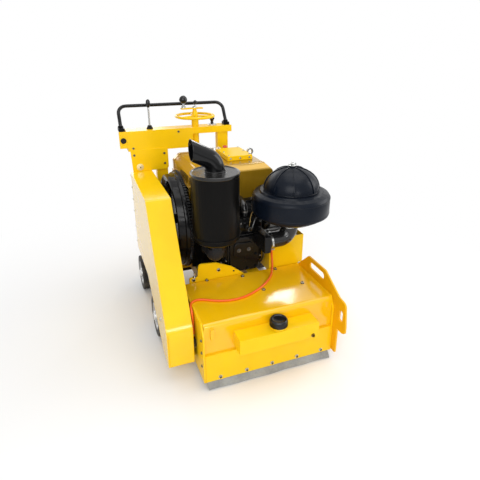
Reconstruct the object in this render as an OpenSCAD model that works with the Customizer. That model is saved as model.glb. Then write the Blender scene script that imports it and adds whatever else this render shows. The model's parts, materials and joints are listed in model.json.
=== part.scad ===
// Walk-behind road milling machine on four small wheels, with an open single-cylinder diesel.
// Build frame: x = 0 at the middle of the drum housing, y = 0 at its front face, z = 0 on the ground.
// +y runs from the milling end to the operator, +x to the side plate with the hand slots.

/* [Drum housing] */
// Width over the housing's side plates
housing_w = 600; // [560:5:640]
// Depth of the housing, front face to rear face
housing_d = 334; // [330:1:345]
// Height of the lid's upper face
lid_z = 311; // [308:1:325]
// Height of the housing's lower edge
housing_z = 36; // [30:1:44]
// Thickness of the housing's side plates
plate_t = 8; // [6:1:10]
// Thickness of the lid's sheet
lid_t = 4; // [3:0.5:6]
// Radius of the lid's front bend
lid_bend_r = 18; // [10:1:24]
// Height of the lower front panel's upper edge
front_panel_z = 168; // [150:1:180]
// Thickness of the lower front panel
front_panel_t = 10; // [8:1:12]
// Thickness of the rubber skirts
skirt_t = 6; // [4:1:8]

/* [Side plate with hand slots] */
// Thickness of the sliding side plate
edge_plate_t = 8; // [6:1:10]
// How far the side plate can float upwards
edge_plate_lift = 60; // [40:5:70]
// Length of the upper hand slot
hand_slot_l = 126; // [100:2:140]
// Width of the upper hand slot
hand_slot_w = 33; // [28:1:38]

/* [Water tank] */
// Length of the spray water tank
tank_l = 356; // [300:2:400]
// Depth of the spray water tank
tank_d = 76; // [60:1:90]
// Height of the spray water tank
tank_h = 68; // [56:1:76]
// Radius of the tank's screw cap
tank_cap_r = 38; // [32:1:42]

/* [Milling drum] */
// Milling width over the outer bits
mill_w = 350; // [300:5:380]
// Radius of the drum's shell
drum_r = 92; // [84:1:98]
// Radius at the tips of the bits
tip_r = 140; // [134:1:140]
// Distance of the drum's axis from the housing's front face
drum_y = 172; // [168:1:176]
// Height of the drum's axis
drum_z = 158; // [156:1:160]
// Number of bits on the drum
bit_count = 40; // [32:4:48]
// Number of starts of the bits' spiral
bit_starts = 2; // [1:1:4]
// Radius of the drum's shaft
drum_shaft_r = 25; // [20:1:28]

/* [Belt drive] */
// Gap between the belt guard and the housing
guard_gap = 15; // [13:1:20]
// Width of the belt guard
guard_w = 111; // [100:1:120]
// Wall of the belt guard
guard_t = 3; // [2:0.5:4]
// Height of the belt guard
guard_z = 720; // [700:5:740]
// Radius of the pulley on the drum's shaft
drum_pulley_r = 62; // [56:1:64]
// Radius of the pulley on the engine's shaft
engine_pulley_r = 92; // [80:1:100]
// Number of belts
belt_count = 3; // [2:1:3]
// Width of one belt
belt_w = 17; // [13:1:17]
// Thickness of one belt
belt_t = 11; // [9:1:12]

/* [Engine] */
// Distance of the crankshaft from the housing's front face
crank_y = 630; // [625:1:640]
// Height of the crankshaft
crank_z = 520; // [515:1:525]
// Outer radius of the flywheel's gear ring
flywheel_r = 245; // [235:1:245]
// Number of teeth on the gear ring
ring_teeth = 104; // [80:2:120]
// Radius of the crankshaft's end
crank_shaft_r = 24; // [20:1:28]
// Width of the crankcase
case_w = 310; // [290:5:320]
// Height of the engine's feet above the ground
engine_bed_z = 300; // [296:1:304]
// Radius of the muffler
muffler_r = 103; // [96:1:105]
// Length of the muffler's straight body
muffler_h = 304; // [290:2:310]
// Radius of the air cleaner
cleaner_r = 174; // [160:1:176]
// Radius of the intake pipe
intake_r = 38; // [32:1:42]

/* [Fuel tank] */
// Width of the fuel tank
fuel_w = 408; // [380:2:420]
// Length of the fuel tank
fuel_l = 385; // [360:5:390]
// Height of the fuel tank
fuel_h = 160; // [140:2:170]
// Size of the fuel tank's sloping upper edges
fuel_chamfer = 34; // [24:1:40]

/* [Battery] */
// Width of the battery box
battery_box_w = 184; // [180:2:190]
// Length of the battery box
battery_box_l = 258; // [240:2:270]
// Height of the battery box
battery_box_h = 172; // [150:2:190]
// Wall of the battery box
battery_box_t = 3; // [2:0.5:4]

/* [Running gear] */
// Radius of the tyres
wheel_r = 100; // [95:1:102]
// Width of the tyres
wheel_w = 50; // [44:1:54]
// Radius of the steel rims
rim_r = 66; // [60:1:70]
// Distance of the front axle from the housing's front face
front_axle_y = 440; // [436:1:446]
// Distance between the axles
wheelbase = 460; // [450:2:470]
// Radius of the axle ends
axle_r = 15; // [12:1:18]
// Travel of the rear axle's carriage below the chassis
depth_travel = 60; // [40:5:60]

/* [Chassis] */
// Length of the chassis behind the drum housing
chassis_l = 666; // [650:2:700]
// Height of the chassis' upper edge
chassis_z = 292; // [288:1:296]
// Height of the chassis' lower edge
chassis_bottom_z = 130; // [128:1:134]

/* [Operator's end] */
// Distance of the console's front face from the housing's front face
console_y = 886; // [880:1:896]
// Height of the console's upper face
console_z = 930; // [900:2:940]
// Depth of the console, front to back
console_d = 90; // [80:2:110]
// Height of the console's left box
console_h = 104; // [90:2:120]
// Width of the handlebar
handlebar_w = 566; // [540:2:580]
// Radius of the handlebar's tube
handlebar_r = 9; // [8:0.5:11]
// Height of the handlebar's top
handlebar_z = 1045; // [1020:5:1060]
// Radius of the depth post
post_r = 19; // [16:1:22]
// Radius of the handwheel's ring, at the middle of its tube
handwheel_r = 100; // [85:1:105]

/* [Hidden] */

$fn = 48;
yellow = [0.94, 0.78, 0.03];
gold = [0.76, 0.58, 0.10];
black = [0.09, 0.10, 0.12];
steel = [0.70, 0.71, 0.72];
rubber_grey = [0.52, 0.56, 0.58];
orange = [1.0, 0.36, 0.06];

// Clearance between a turning piece and what it runs in
run_gap = 0.1;
// Clearance between pieces that slide past each other
slide_gap = 0.5;

half_w = housing_w / 2;
inner_half_w = half_w - plate_t;
lid_under_z = lid_z - lid_t;

wheel_side_x = half_w + 5;
rear_axle_y = front_axle_y + wheelbase;
guard_right_x = -half_w - guard_gap;
guard_left_x = guard_right_x - guard_w;
left_wheel_x = guard_left_x + 6;
right_wheel_x = wheel_side_x;
wing_w = 40;
wing_x = guard_left_x - wing_w;

// The origin lies on the ground under the middle of the machine's outline.
lug_reach = 100;
cleaner_x = 205;
x_low = wing_x;
x_high = max(right_wheel_x + wheel_w, cleaner_x + cleaner_r);
y_low = -lug_reach;
ring_tube_r = 7;
y_high = rear_axle_y + max(handwheel_r + ring_tube_r, wheel_r);
mid_x = (x_low + x_high) / 2;
mid_y = (y_low + y_high) / 2;

// Moves the machine from the build frame to its own origin.
module placed() {
    translate([-mid_x, -mid_y, 0]) children();
}

// Points of an arc that rounds corner b, between a and c, with radius r.
function corner_arc(a, b, c, r, steps) =
    let (
        u = (a - b) / norm(a - b),
        v = (c - b) / norm(c - b),
        half = acos(u * v) / 2,
        centre = b + (u + v) / norm(u + v) * r / sin(half),
        first = b + u * r / tan(half) - centre,
        last = b + v * r / tan(half) - centre,
        a0 = atan2(first[1], first[0]),
        turn = (atan2(last[1], last[0]) - a0 + 540) % 360 - 180
    )
    [for (i = [0:steps]) centre + r * [cos(a0 + turn * i / steps), sin(a0 + turn * i / steps)]];

// Outline from rows of [x, y, corner radius].
function outline(rows, steps = 6) =
    let (n = len(rows), p = [for (row = rows) [row[0], row[1]]])
    [
        for (i = [0:n - 1])
            each rows[i][2] == 0
                ? [p[i]]
                : corner_arc(p[(i + n - 1) % n], p[i], p[(i + 1) % n], rows[i][2], steps)
    ];

// The same anticlockwise rows with every edge moved inwards by t.
function inset(rows, t) =
    let (n = len(rows), p = [for (row = rows) [row[0], row[1]]])
    [
        for (i = [0:n - 1])
            let (
                d1 = (p[i] - p[(i + n - 1) % n]) / norm(p[i] - p[(i + n - 1) % n]),
                d2 = (p[(i + 1) % n] - p[i]) / norm(p[(i + 1) % n] - p[i]),
                n1 = [-d1[1], d1[0]],
                n2 = [-d2[1], d2[0]],
                q = p[i] + (n1 + n2) * t / (1 + n1 * n2)
            )
            [q[0], q[1], rows[i][2] == 0 ? 0 : max(rows[i][2] - t, 0.5)]
    ];

// Block between two corners.
module block(low, high) {
    translate(low) cube(high - low);
}

// Outline in y and z, drawn out along +x from x.
module along_x(x, length) {
    translate([x, 0, 0]) rotate([90, 0, 90]) linear_extrude(length) children();
}

// Outline in x and z, drawn out along +y from y.
module along_y(y, length) {
    translate([0, y + length, 0]) rotate([90, 0, 0]) linear_extrude(length) children();
}

// Round bar along +x from a point.
module rod_x(at, r, length) {
    translate(at) rotate([0, 90, 0]) cylinder(h = length, r = r);
}

// Round bar along +y from a point.
module rod_y(at, r, length) {
    translate(at) rotate([-90, 0, 0]) cylinder(h = length, r = r);
}

// Pipe bend about the origin: sweeps from +x towards +y, in the plane of x and y.
module bend(bend_r, pipe_r, angle) {
    rotate_extrude(angle = angle) translate([bend_r, 0]) circle(pipe_r);
}

// Direction of a route at point i, and the sideways direction that each ring starts from.
function unit(v) = v / norm(v);
function heading(points, i) = unit(points[min(i + 1, len(points) - 1)] - points[max(i - 1, 0)]);
function ring_start(t) = unit(cross(t, abs(t[2]) > 0.8 ? [0, 1, 0] : [0, 0, 1]));
function carried(points, i) =
    i == 0 ? ring_start(heading(points, 0))
           : let (u = carried(points, i - 1), t = heading(points, i)) unit(u - t * (u * t));

// Rings of points across a route; the last one leans by slash degrees.
function rings(points, r, sides, slash = 0) = [
    for (i = [0:len(points) - 1])
        let (
            t = heading(points, i),
            u = carried(points, i),
            v = cross(t, u),
            lean = i == len(points) - 1 ? tan(slash) : 0
        )
        each [
            for (k = [0:sides - 1])
                let (c = r * cos(360 * k / sides))
                points[i] + u * c + v * r * sin(360 * k / sides) - t * lean * c
        ]
];

// Faces between neighbouring rings, from ring number first to ring number last.
function skin(first, last, sides) = [
    for (i = [first:last - 1], k = [0:sides - 1])
        let (here = i * sides, next = (i + 1) * sides, m = (k + 1) % sides)
        [here + k, next + k, next + m, here + m]
];

// Solid tube along points.
module tube(points, r, sides) {
    n = len(points);
    ends = [[for (k = [0:sides - 1]) k], [for (k = [sides - 1:-1:0]) (n - 1) * sides + k]];
    polyhedron(rings(points, r, sides), concat(skin(0, n - 1, sides), ends), convexity = 6);
}

// Open pipe along points: the outer skin out, the inner skin back.
module pipe(points, r, wall, sides, slash) {
    n = len(points);
    back = [for (i = [n - 1:-1:0]) i];
    inner = rings(points, r - wall, sides, slash);
    inner_back = [for (i = back) each [for (k = [0:sides - 1]) inner[i * sides + k]]];
    closing = [
        for (k = [0:sides - 1])
            let (last = (2 * n - 1) * sides, m = (k + 1) % sides)
            [last + k, k, m, last + m]
    ];
    polyhedron(concat(rings(points, r, sides, slash), inner_back), concat(skin(0, 2 * n - 1, sides), closing), convexity = 8);
}

rail_x = [-190, 40];
rail_w = 60;
rail_z = 240;
chassis_rear_y = housing_d + chassis_l;
bracket_t = 8;
flywheel_x = -215;

// Chassis: two side plates, cross members, two rails for the engine and a shelf for the battery.
module base_frame() {
    side = [
        [housing_d, chassis_bottom_z + 20, 0], [front_axle_y - 70, chassis_bottom_z + 20, 10],
        [front_axle_y - 50, 68, 12], [front_axle_y + 50, 68, 12], [front_axle_y + 70, chassis_bottom_z, 10],
        [chassis_rear_y, chassis_bottom_z, 30], [chassis_rear_y, chassis_z, 0], [housing_d, chassis_z, 0]
    ];
    color(yellow) placed() difference() {
        union() {
            for (x = [-half_w, half_w - plate_t]) along_x(x, plate_t) polygon(outline(side));
            for (y = [housing_d + 60, front_axle_y + 280]) {
                block([-inner_half_w, y, 180], [inner_half_w, y + 50, rail_z]);
            }
            block([-inner_half_w, chassis_rear_y - plate_t, chassis_bottom_z + 30],
                  [inner_half_w, chassis_rear_y, chassis_z]);
            for (x = rail_x) block([x, housing_d + 12, rail_z], [x + rail_w, chassis_rear_y - plate_t, chassis_z]);
            block([battery_x, housing_d + 12, chassis_z - 6], [inner_half_w, battery_y + battery_box_l, chassis_z]);
        }
        rod_x([-half_w - 1, front_axle_y, wheel_r], axle_r, housing_w + 2);
    }
}

// Yellow plate under the engine's head, behind the lid's rear edge.
module engine_bracket() {
    shape = [
        [-262, chassis_z - 40, 0], [20, chassis_z - 40, 0], [8, 308, 8], [-52, 356, 30], [-131, 392, 20],
        [-216, 398, 16], [-222, 334, 4], [-262, 334, 6]
    ];
    color(yellow) placed() {
        along_y(housing_d + 4, bracket_t) polygon(outline(shape));
    }
}

bearing_r = 52;

// Outline of a housing side plate in y and z.
function housing_side(front_cut) = [
    [-front_panel_t, housing_z, 0], [housing_d, housing_z, 0], [housing_d, lid_z, 0],
    [front_cut, lid_z, 6], [-front_panel_t, lid_z - 50, 6]
];

module housing_left_plate() {
    color(yellow) placed() difference() {
        along_x(-half_w, plate_t) polygon(outline(housing_side(16)));
        rod_x([-half_w - 1, drum_y, drum_z], bearing_r, plate_t + 2);
    }
}

module housing_right_plate() {
    color(yellow) placed() difference() {
        along_x(inner_half_w, plate_t) polygon(outline(housing_side(16)));
        rod_x([inner_half_w - 1, drum_y, drum_z], bearing_r, plate_t + 2);
        for (y = pin_y) rod_x([inner_half_w - 1, y, pin_z], pin_r, plate_t + 2);
    }
}

module housing_rear_wall() {
    color(yellow) placed() {
        block([-inner_half_w, housing_d - plate_t, housing_z + 24], [inner_half_w, housing_d, lid_under_z]);
    }
}

module front_panel() {
    color(yellow) placed() {
        block([-inner_half_w, -front_panel_t, housing_z], [inner_half_w, 0, front_panel_z]);
    }
}

// Lid with its rounded front bend, the upper front sheet below it, and a lock tab at the left end.
module lid() {
    sheet = [
        [0, front_panel_z - 20, 0], [lid_t, front_panel_z - 20, 0], [lid_t, lid_under_z, lid_bend_r - lid_t],
        [housing_d - 2, lid_under_z, 0], [housing_d - 2, lid_z, 0], [0, lid_z, lid_bend_r]
    ];
    color(yellow) placed() {
        along_x(-inner_half_w, 2 * inner_half_w) polygon(outline(sheet));
        block([-half_w + 33, -14, 243], [-half_w + 48, 0, lid_z - lid_bend_r]);
    }
}

pin_y = [60, 280];
pin_z = 190;
pin_r = 9;
edge_slot_r = pin_r + slide_gap;
edge_plate_x = half_w + slide_gap;

// Sliding side plate with two hand slots, standing above the lid and in front of the panel.
module edge_plate() {
    shape = [
        [housing_d - 5, housing_z + 6, 6], [housing_d - 5, lid_z + 2, 8], [236, 398, 14], [84, 398, 26],
        [-36, 329, 20], [-86, 322, 22], [-lug_reach, 216, 12], [-lug_reach, 184, 12], [-78, 172, 10], [-42, 172, 0],
        [-42, housing_z + 6, 6]
    ];
    color(yellow) placed() difference() {
        along_x(edge_plate_x, edge_plate_t) polygon(outline(shape));
        along_x(edge_plate_x - 1, edge_plate_t + 2) polygon(outline([
            [155 - hand_slot_l / 2, 344, hand_slot_w * 0.45], [155 + hand_slot_l / 2, 344, hand_slot_w * 0.45],
            [155 + hand_slot_l / 2, 344 + hand_slot_w, hand_slot_w * 0.45],
            [155 - hand_slot_l / 2, 344 + hand_slot_w, hand_slot_w * 0.45]
        ]));
        along_x(edge_plate_x - 1, edge_plate_t + 2) polygon(outline([
            [-74, 226, 9], [-50, 226, 9], [-50, 276, 9], [-74, 276, 9]
        ]));
        for (y = pin_y) {
            along_x(edge_plate_x - 1, edge_plate_t + 2) polygon(outline([
                [y - edge_slot_r, pin_z - edge_plate_lift - edge_slot_r, edge_slot_r * 0.98],
                [y + edge_slot_r, pin_z - edge_plate_lift - edge_slot_r, edge_slot_r * 0.98],
                [y + edge_slot_r, pin_z + edge_slot_r, edge_slot_r * 0.98],
                [y - edge_slot_r, pin_z + edge_slot_r, edge_slot_r * 0.98]
            ]));
        }
    }
}

// Shoulder pins that the side plate floats on.
module edge_plate_pins() {
    color(steel) placed() for (y = pin_y) {
        rod_x([inner_half_w, y, pin_z], pin_r, plate_t + edge_plate_t + 2 * slide_gap);
        rod_x([half_w + edge_plate_t + 2 * slide_gap, y, pin_z], pin_r + 7, 4);
    }
}

// Rubber skirts hanging in front of and behind the drum.
module rubber_skirts() {
    front = [
        [0, 60, 0], [0, housing_z, 0], [-22, 4, 0], [-16, 2, 0], [skirt_t, housing_z - 2, 0], [skirt_t, 60, 0]
    ];
    color(rubber_grey) placed() {
        along_x(-half_w + 16, housing_w - 26) polygon(outline(front));
        block([-inner_half_w + 6, housing_d - plate_t - skirt_t, 10], [inner_half_w - 6, housing_d - plate_t, 90]);
    }
}

tank_x = 10;
tank_z = 190;
cap_y = -40;

// Spray water tank on the front, with the neck for its cap.
module water_tank() {
    top = tank_z + tank_h;
    color(yellow) placed() {
        block([tank_x - tank_l / 2, -tank_d, tank_z], [tank_x + tank_l / 2, 0, top]);
        translate([tank_x + 5, cap_y, top]) cylinder(h = 8, r = tank_cap_r - 5);
    }
}

module tank_cap() {
    ribs = 36;
    color(black) placed() translate([tank_x + 5, cap_y, tank_z + tank_h + 8]) {
        linear_extrude(26) polygon([
            for (i = [0:2 * ribs - 1])
                (tank_cap_r - (i % 2 == 0 ? 0 : 1)) * [cos(180 * i / ribs), sin(180 * i / ribs)]
        ]);
        translate([0, 0, 26]) cylinder(h = 6, r1 = tank_cap_r - 1.5, r2 = tank_cap_r - 7);
    }
}

valve_y = 114;
valve_z = 158;

// Spray valve between the belt guard and the housing.
module spray_valve() {
    x = -half_w - guard_gap + 1;
    color(black) placed() {
        block([x, valve_y - 13, valve_z - 14], [-half_w, valve_y + 13, valve_z + 14]);
        translate([-half_w - guard_gap / 2, valve_y, valve_z + 14]) cylinder(h = 12, r = hose_r);
    }
}

hose_r = 5;
hose_sides = 10;
// Height of the hose's middle line where it lies on the lid.
hose_lie_z = lid_z + hose_r + 0.4;
fitting_z = 428;
// Middle line of the spray hose, from the fitting at the battery box to the valve.
hose_points = [
    [150, 331, fitting_z], [150, 331, 404], [151, 330, 382], [151, 325, 360], [147, 313, 338], [138, 296, 324],
    [124, 272, 317.5], [107, 249, hose_lie_z], [87, 226, hose_lie_z], [62, 203, hose_lie_z],
    [34, 181, hose_lie_z], [2, 161, hose_lie_z], [-32, 144, hose_lie_z], [-68, 132, hose_lie_z],
    [-104, 127, hose_lie_z], [-140, 129, hose_lie_z], [-174, 138, hose_lie_z], [-204, 152, hose_lie_z],
    [-229, 166, hose_lie_z], [-249, 176, hose_lie_z], [-266, 181, hose_lie_z], [-282, 178, hose_lie_z],
    [-296, 169, hose_lie_z], [-305, 154, hose_lie_z], [-half_w - guard_gap / 2, 139, 313], [-half_w - guard_gap / 2, 126, 305],
    [-half_w - guard_gap / 2, 117, 292], [-half_w - guard_gap / 2, valve_y, 276], [-half_w - guard_gap / 2, valve_y, 252], [-half_w - guard_gap / 2, valve_y, 228],
    [-half_w - guard_gap / 2, valve_y, 205], [-half_w - guard_gap / 2, valve_y, valve_z + 26]
];

module spray_hose() {
    color(orange) placed() tube(hose_points, hose_r, hose_sides);
}

// Barbed fitting on the battery box that the hose is pushed on.
module hose_fitting() {
    color(steel) placed() {
        block([138, battery_y - 20, fitting_z + 12], [162, battery_y, fitting_z + 36]);
        translate([150, 331, fitting_z]) cylinder(h = 12, r = 8);
    }
}

pick_lean = 40;
pick_r = 10;
// Middle of the face that a bit sits on: sideways, and outwards from the drum's axis.
seat = [-2, drum_r + 16];

// Places its children at every bit: along the drum, and round it in a spiral.
module each_bit() {
    turns = 1.5;
    margin = 14;
    translate([0, drum_y, drum_z]) for (i = [0:bit_count - 1]) {
        across = (i + 0.5) / bit_count;
        angle = 360 * turns * across + 360 * (i % bit_starts) / bit_starts;
        translate([-mill_w / 2 + margin + (mill_w - 2 * margin) * across, 0, 0]) rotate([angle, 0, 0]) children();
    }
}

// Drum shell, hollow at both ends, with the welded holders of the bits.
module drum() {
    ledge = 11 * [cos(pick_lean), sin(pick_lean)];
    holder = [
        [-17, drum_r - 3], [17, drum_r - 3], [17, drum_r + 6], seat + ledge, seat - ledge, [-17, drum_r + 4]
    ];
    color(black) placed() {
        difference() {
            rod_x([-mill_w / 2 + 8, drum_y, drum_z], drum_r, mill_w - 16, $fn = 64);
            rod_x([-mill_w / 2, drum_y, drum_z], drum_shaft_r, mill_w);
            for (x = [-mill_w / 2, mill_w / 2 - 30]) rod_x([x, drum_y, drum_z], drum_r - 14, 30);
        }
        each_bit() along_x(-11, 22) polygon(holder);
    }
}

// Milling bits: round shanks with a taper to the carbide tip, leaning towards the cut.
module milling_bits() {
    toward = [-sin(pick_lean), cos(pick_lean)];
    along = seat * toward;
    bit_l = sqrt(along * along - seat * seat + tip_r * tip_r) - along;
    color(steel) placed() each_bit() translate([0, seat[0], seat[1]]) rotate([pick_lean, 0, 0])
        rotate_extrude($fn = 8) polygon([[0, 0], [pick_r, 0], [pick_r, 12], [7, 16], [2.5, bit_l], [0, bit_l]]);
}

shaft_left_x = guard_left_x + guard_t + 9;

module drum_shaft() {
    color(steel) placed() {
        rod_x([shaft_left_x, drum_y, drum_z], drum_shaft_r, inner_half_w - shaft_left_x);
    }
}

// Flanged bearings of the drum's shaft in the housing's side plates.
module drum_bearings() {
    color(black) placed() for (side = [-1, 1]) {
        x0 = side < 0 ? -half_w : inner_half_w - 22;
        difference() {
            union() {
                rod_x([x0, drum_y, drum_z], bearing_r, plate_t + 22);
                rod_x([side < 0 ? -inner_half_w : inner_half_w - 12, drum_y, drum_z], bearing_r + 14, 12);
            }
            rod_x([x0 - 1, drum_y, drum_z], drum_shaft_r + run_gap, plate_t + 60);
        }
    }
}

belt_pitch = 24;
belt_mid_x = (guard_left_x + guard_right_x) / 2;
pulley_w = belt_count * belt_pitch + 8;

// Grooved pulley for the belts, across the belts' middle plane.
module grooved_pulley(r, bore_r) {
    groove = belt_t - 1;
    rotate([0, 90, 0]) difference() {
        rotate_extrude($fn = 64) polygon(concat(
            [[bore_r, -pulley_w / 2], [r, -pulley_w / 2]],
            [
                for (i = [0:belt_count - 1])
                    let (mid = (i - (belt_count - 1) / 2) * belt_pitch)
                    each [
                        [r, mid - belt_w / 2 - 1], [r - groove, mid - belt_w / 2 + 1],
                        [r - groove, mid + belt_w / 2 - 1], [r, mid + belt_w / 2 + 1]
                    ]
            ],
            [[r, pulley_w / 2], [bore_r, pulley_w / 2]]
        ));
        for (side = [-1, 1]) translate([0, 0, side * pulley_w / 2]) {
            translate([0, 0, -12]) difference() {
                cylinder(h = 24, r = r - 20);
                translate([0, 0, -1]) cylinder(h = 26, r = bore_r + 12);
            }
        }
    }
}

module drum_pulley() {
    color(black) placed() translate([belt_mid_x, drum_y, drum_z]) grooved_pulley(drum_pulley_r, drum_shaft_r);
}

module engine_pulley() {
    color(black) placed() translate([belt_mid_x, crank_y, crank_z]) grooved_pulley(engine_pulley_r, crank_shaft_r);
}

// Outline round both pulleys at the given radii, in y and z.
function belt_outline(r1, r2, steps = 24) =
    let (
        dy = crank_y - drum_y,
        dz = crank_z - drum_z,
        gap = sqrt(dy * dy + dz * dz),
        lean = atan2(dz, dy),
        open = acos((r1 - r2) / gap)
    )
    concat(
        [for (i = [0:steps]) let (a = lean + open + (360 - 2 * open) * i / steps)
            [drum_y, drum_z] + r1 * [cos(a), sin(a)]],
        [for (i = [0:steps]) let (a = lean - open + 2 * open * i / steps)
            [crank_y, crank_z] + r2 * [cos(a), sin(a)]]
    );

module drive_belts() {
    seat = belt_t - 1 - 0.8;
    color(black) placed() for (i = [0:belt_count - 1]) {
        mid = belt_mid_x + (i - (belt_count - 1) / 2) * belt_pitch;
        difference() {
            along_x(mid - belt_w / 2 + 1.6, belt_w - 3.2)
                polygon(belt_outline(drum_pulley_r - seat + belt_t, engine_pulley_r - seat + belt_t));
            along_x(mid - belt_w, 2 * belt_w)
                polygon(belt_outline(drum_pulley_r - seat, engine_pulley_r - seat));
        }
    }
}

guard_front_y = 80;
guard_bottom_z = 80;
guard_knee_z = 240;
guard_top_y = 385;
guard_rear_y = 866;
guard_sill_y = 520;
guard_sill_z = 290;

// Side outline of the belt guard in y and z.
guard_side = [
    [guard_front_y, guard_bottom_z, 0], [190, guard_bottom_z, 0], [guard_sill_y, guard_sill_z, 40],
    [guard_rear_y, guard_sill_z, 0], [guard_rear_y, guard_z, 0], [guard_top_y, guard_z, 14],
    [guard_front_y, guard_knee_z, 130]
];

// Folded belt guard, open towards the machine, on two stand-offs at the housing and the chassis.
module belt_guard() {
    color(yellow) placed() {
        difference() {
            along_x(guard_left_x, guard_w) polygon(outline(guard_side));
            along_x(guard_left_x + guard_t, guard_w) polygon(outline(inset(guard_side, guard_t)));
        }
        block([guard_right_x - 20, 120, guard_bottom_z], [-half_w, 160, guard_bottom_z + guard_t]);
        block([guard_right_x - 20, guard_rear_y - 60, chassis_z - 12], [-half_w, guard_rear_y - 30, guard_sill_z + guard_t]);
    }
}

// Flywheel with its gear ring, rim groove and hub, and the shaft that carries the belt pulley.
module flywheel() {
    x_right = flywheel_x;
    tooth = 360 / ring_teeth;
    root_r = flywheel_r - 5;
    color(black) placed() translate([0, crank_y, crank_z]) {
        rotate([0, 90, 0]) rotate_extrude($fn = 96) polygon([
            [crank_shaft_r, x_right - 30], [flywheel_r - 60, x_right - 30], [flywheel_r - 52, x_right - 58],
            [flywheel_r - 24, x_right - 70], [flywheel_r - 17, x_right - 66], [flywheel_r - 17, x_right - 36],
            [flywheel_r - 9, x_right - 34], [flywheel_r - 9, x_right - 18], [root_r - 14, x_right - 18],
            [root_r - 14, x_right - 4], [flywheel_r - 40, x_right], [crank_shaft_r, x_right]
        ]);
        along_x(x_right - 18, 14) difference() {
            polygon([
                for (i = [0:ring_teeth - 1], k = [0:3])
                    let (a = tooth * (i + [0.06, 0.3, 0.56, 0.8][k]), r = [root_r, flywheel_r, flywheel_r, root_r][k])
                    r * [cos(a), sin(a)]
            ]);
            circle(root_r - 14, $fn = 96);
        }
        rod_x([shaft_left_x, 0, 0], crank_shaft_r, x_right + 24 - shaft_left_x);
    }
}

case_x0 = -205;
case_x1 = case_x0 + case_w;
case_y0 = 500;
case_y1 = 800;
case_z1 = 650;

// Crankcase on its feet, with the side cover, the crankshaft's boss, the dipstick and the rear cover.
module crankcase() {
    body = [
        [case_y0, engine_bed_z, 0], [case_y1 - 40, engine_bed_z, 0], [case_y1, engine_bed_z + 60, 20],
        [case_y1, case_z1 - 60, 50], [case_y1 - 80, case_z1, 0], [case_y0, case_z1, 0]
    ];
    cover = [
        [case_y0 + 30, engine_bed_z + 40, 24], [case_y1 - 60, engine_bed_z + 40, 24],
        [case_y1 - 24, engine_bed_z + 110, 40], [case_y1 - 24, case_z1 - 110, 60],
        [case_y1 - 110, case_z1 - 40, 40], [case_y0 + 30, case_z1 - 40, 24]
    ];
    color(black) placed() {
        difference() {
            union() {
                along_x(case_x0, case_w) polygon(outline(body));
                rod_x([flywheel_x + 6, crank_y, crank_z], 72, case_x0 - flywheel_x);
                for (x = rail_x) block([x + 4, case_y0 - 40, chassis_z], [x + rail_w - 4, case_y1 + 30, engine_bed_z + 12]);
            }
            rod_x([flywheel_x, crank_y, crank_z], crank_shaft_r + run_gap, 26);
        }
        along_x(case_x1, 22) polygon(outline(cover));
        rod_x([case_x1 + 22, crank_y, crank_z], 48, 10);
        rod_x([case_x1 + 22, crank_y + 78, crank_z - 96], 26, 8);
        rod_y([case_x0 + 90, case_y1, crank_z - 20], 60, 16);
    }
}

cyl_x0 = -100;
cyl_x1 = 120;
cyl_y0 = 410;
head_y0 = 372;
cyl_z0 = 350;
cyl_z1 = 600;

// Water-cooled cylinder block with cast ribs.
module cylinder_block() {
    color(black) placed() {
        block([cyl_x0, cyl_y0, cyl_z0], [cyl_x1, case_y0, cyl_z1]);
        for (i = [0:3]) block([cyl_x1, cyl_y0 + 12 + i * 20, cyl_z0 + 40], [cyl_x1 + 8, cyl_y0 + 18 + i * 20, cyl_z1 - 30]);
        block([cyl_x0 + 30, cyl_y0 + 10, cyl_z1], [cyl_x1 - 40, case_y0, case_z1]);
    }
}

// Cylinder head with the injector and its pipe union.
module cylinder_head() {
    color(black) placed() {
        along_y(head_y0, cyl_y0 - head_y0) polygon(outline([
            [cyl_x0 + 10, cyl_z0 - 10, 20], [cyl_x1 - 6, cyl_z0 - 10, 20], [cyl_x1 - 6, cyl_z1 - 20, 26],
            [cyl_x0 + 10, cyl_z1 - 20, 26]
        ]));
        rod_y([34, head_y0 - 26, 540], 15, 26);
        rod_y([34, head_y0 - 44, 540], 8, 18);
    }
}

cover_d = 25;

// Rocker cover on the head's face.
module head_cover() {
    color(black) placed() {
        along_y(head_y0 - cover_d, cover_d) polygon(outline([
            [-58, 318, 22], [88, 318, 22], [88, 496, 22], [-58, 496, 22]
        ]));
    }
}

muffler_x = -150;
muffler_y = 262;
muffler_top_z = 854;
muffler_bottom_z = muffler_top_z - muffler_h;
exhaust_r = 27;
exhaust_z = 468;
exhaust_bend_r = 43;
inlet_z = exhaust_z + exhaust_bend_r + 6;

// Exhaust elbow from the port box on the head's left side, forwards and up to the muffler.
module exhaust_pipe() {
    port = [muffler_x - 30, head_y0 + 3, exhaust_z - 31];
    color(black) placed() {
        block(port, [cyl_x0 + 10, cyl_y0 - 3, exhaust_z + 31]);
        rod_y([muffler_x, muffler_y + exhaust_bend_r, exhaust_z], exhaust_r, port[1] - muffler_y - exhaust_bend_r);
        translate([muffler_x, muffler_y + exhaust_bend_r, exhaust_z + exhaust_bend_r]) rotate([90, 0, 90])
            rotate([0, 0, 180]) bend(exhaust_bend_r, exhaust_r, 90);
        translate([muffler_x, muffler_y, exhaust_z + exhaust_bend_r]) cylinder(h = 6, r = exhaust_r);
    }
}

tail_r = 40;
collar_r = tail_r + 1;

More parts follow.
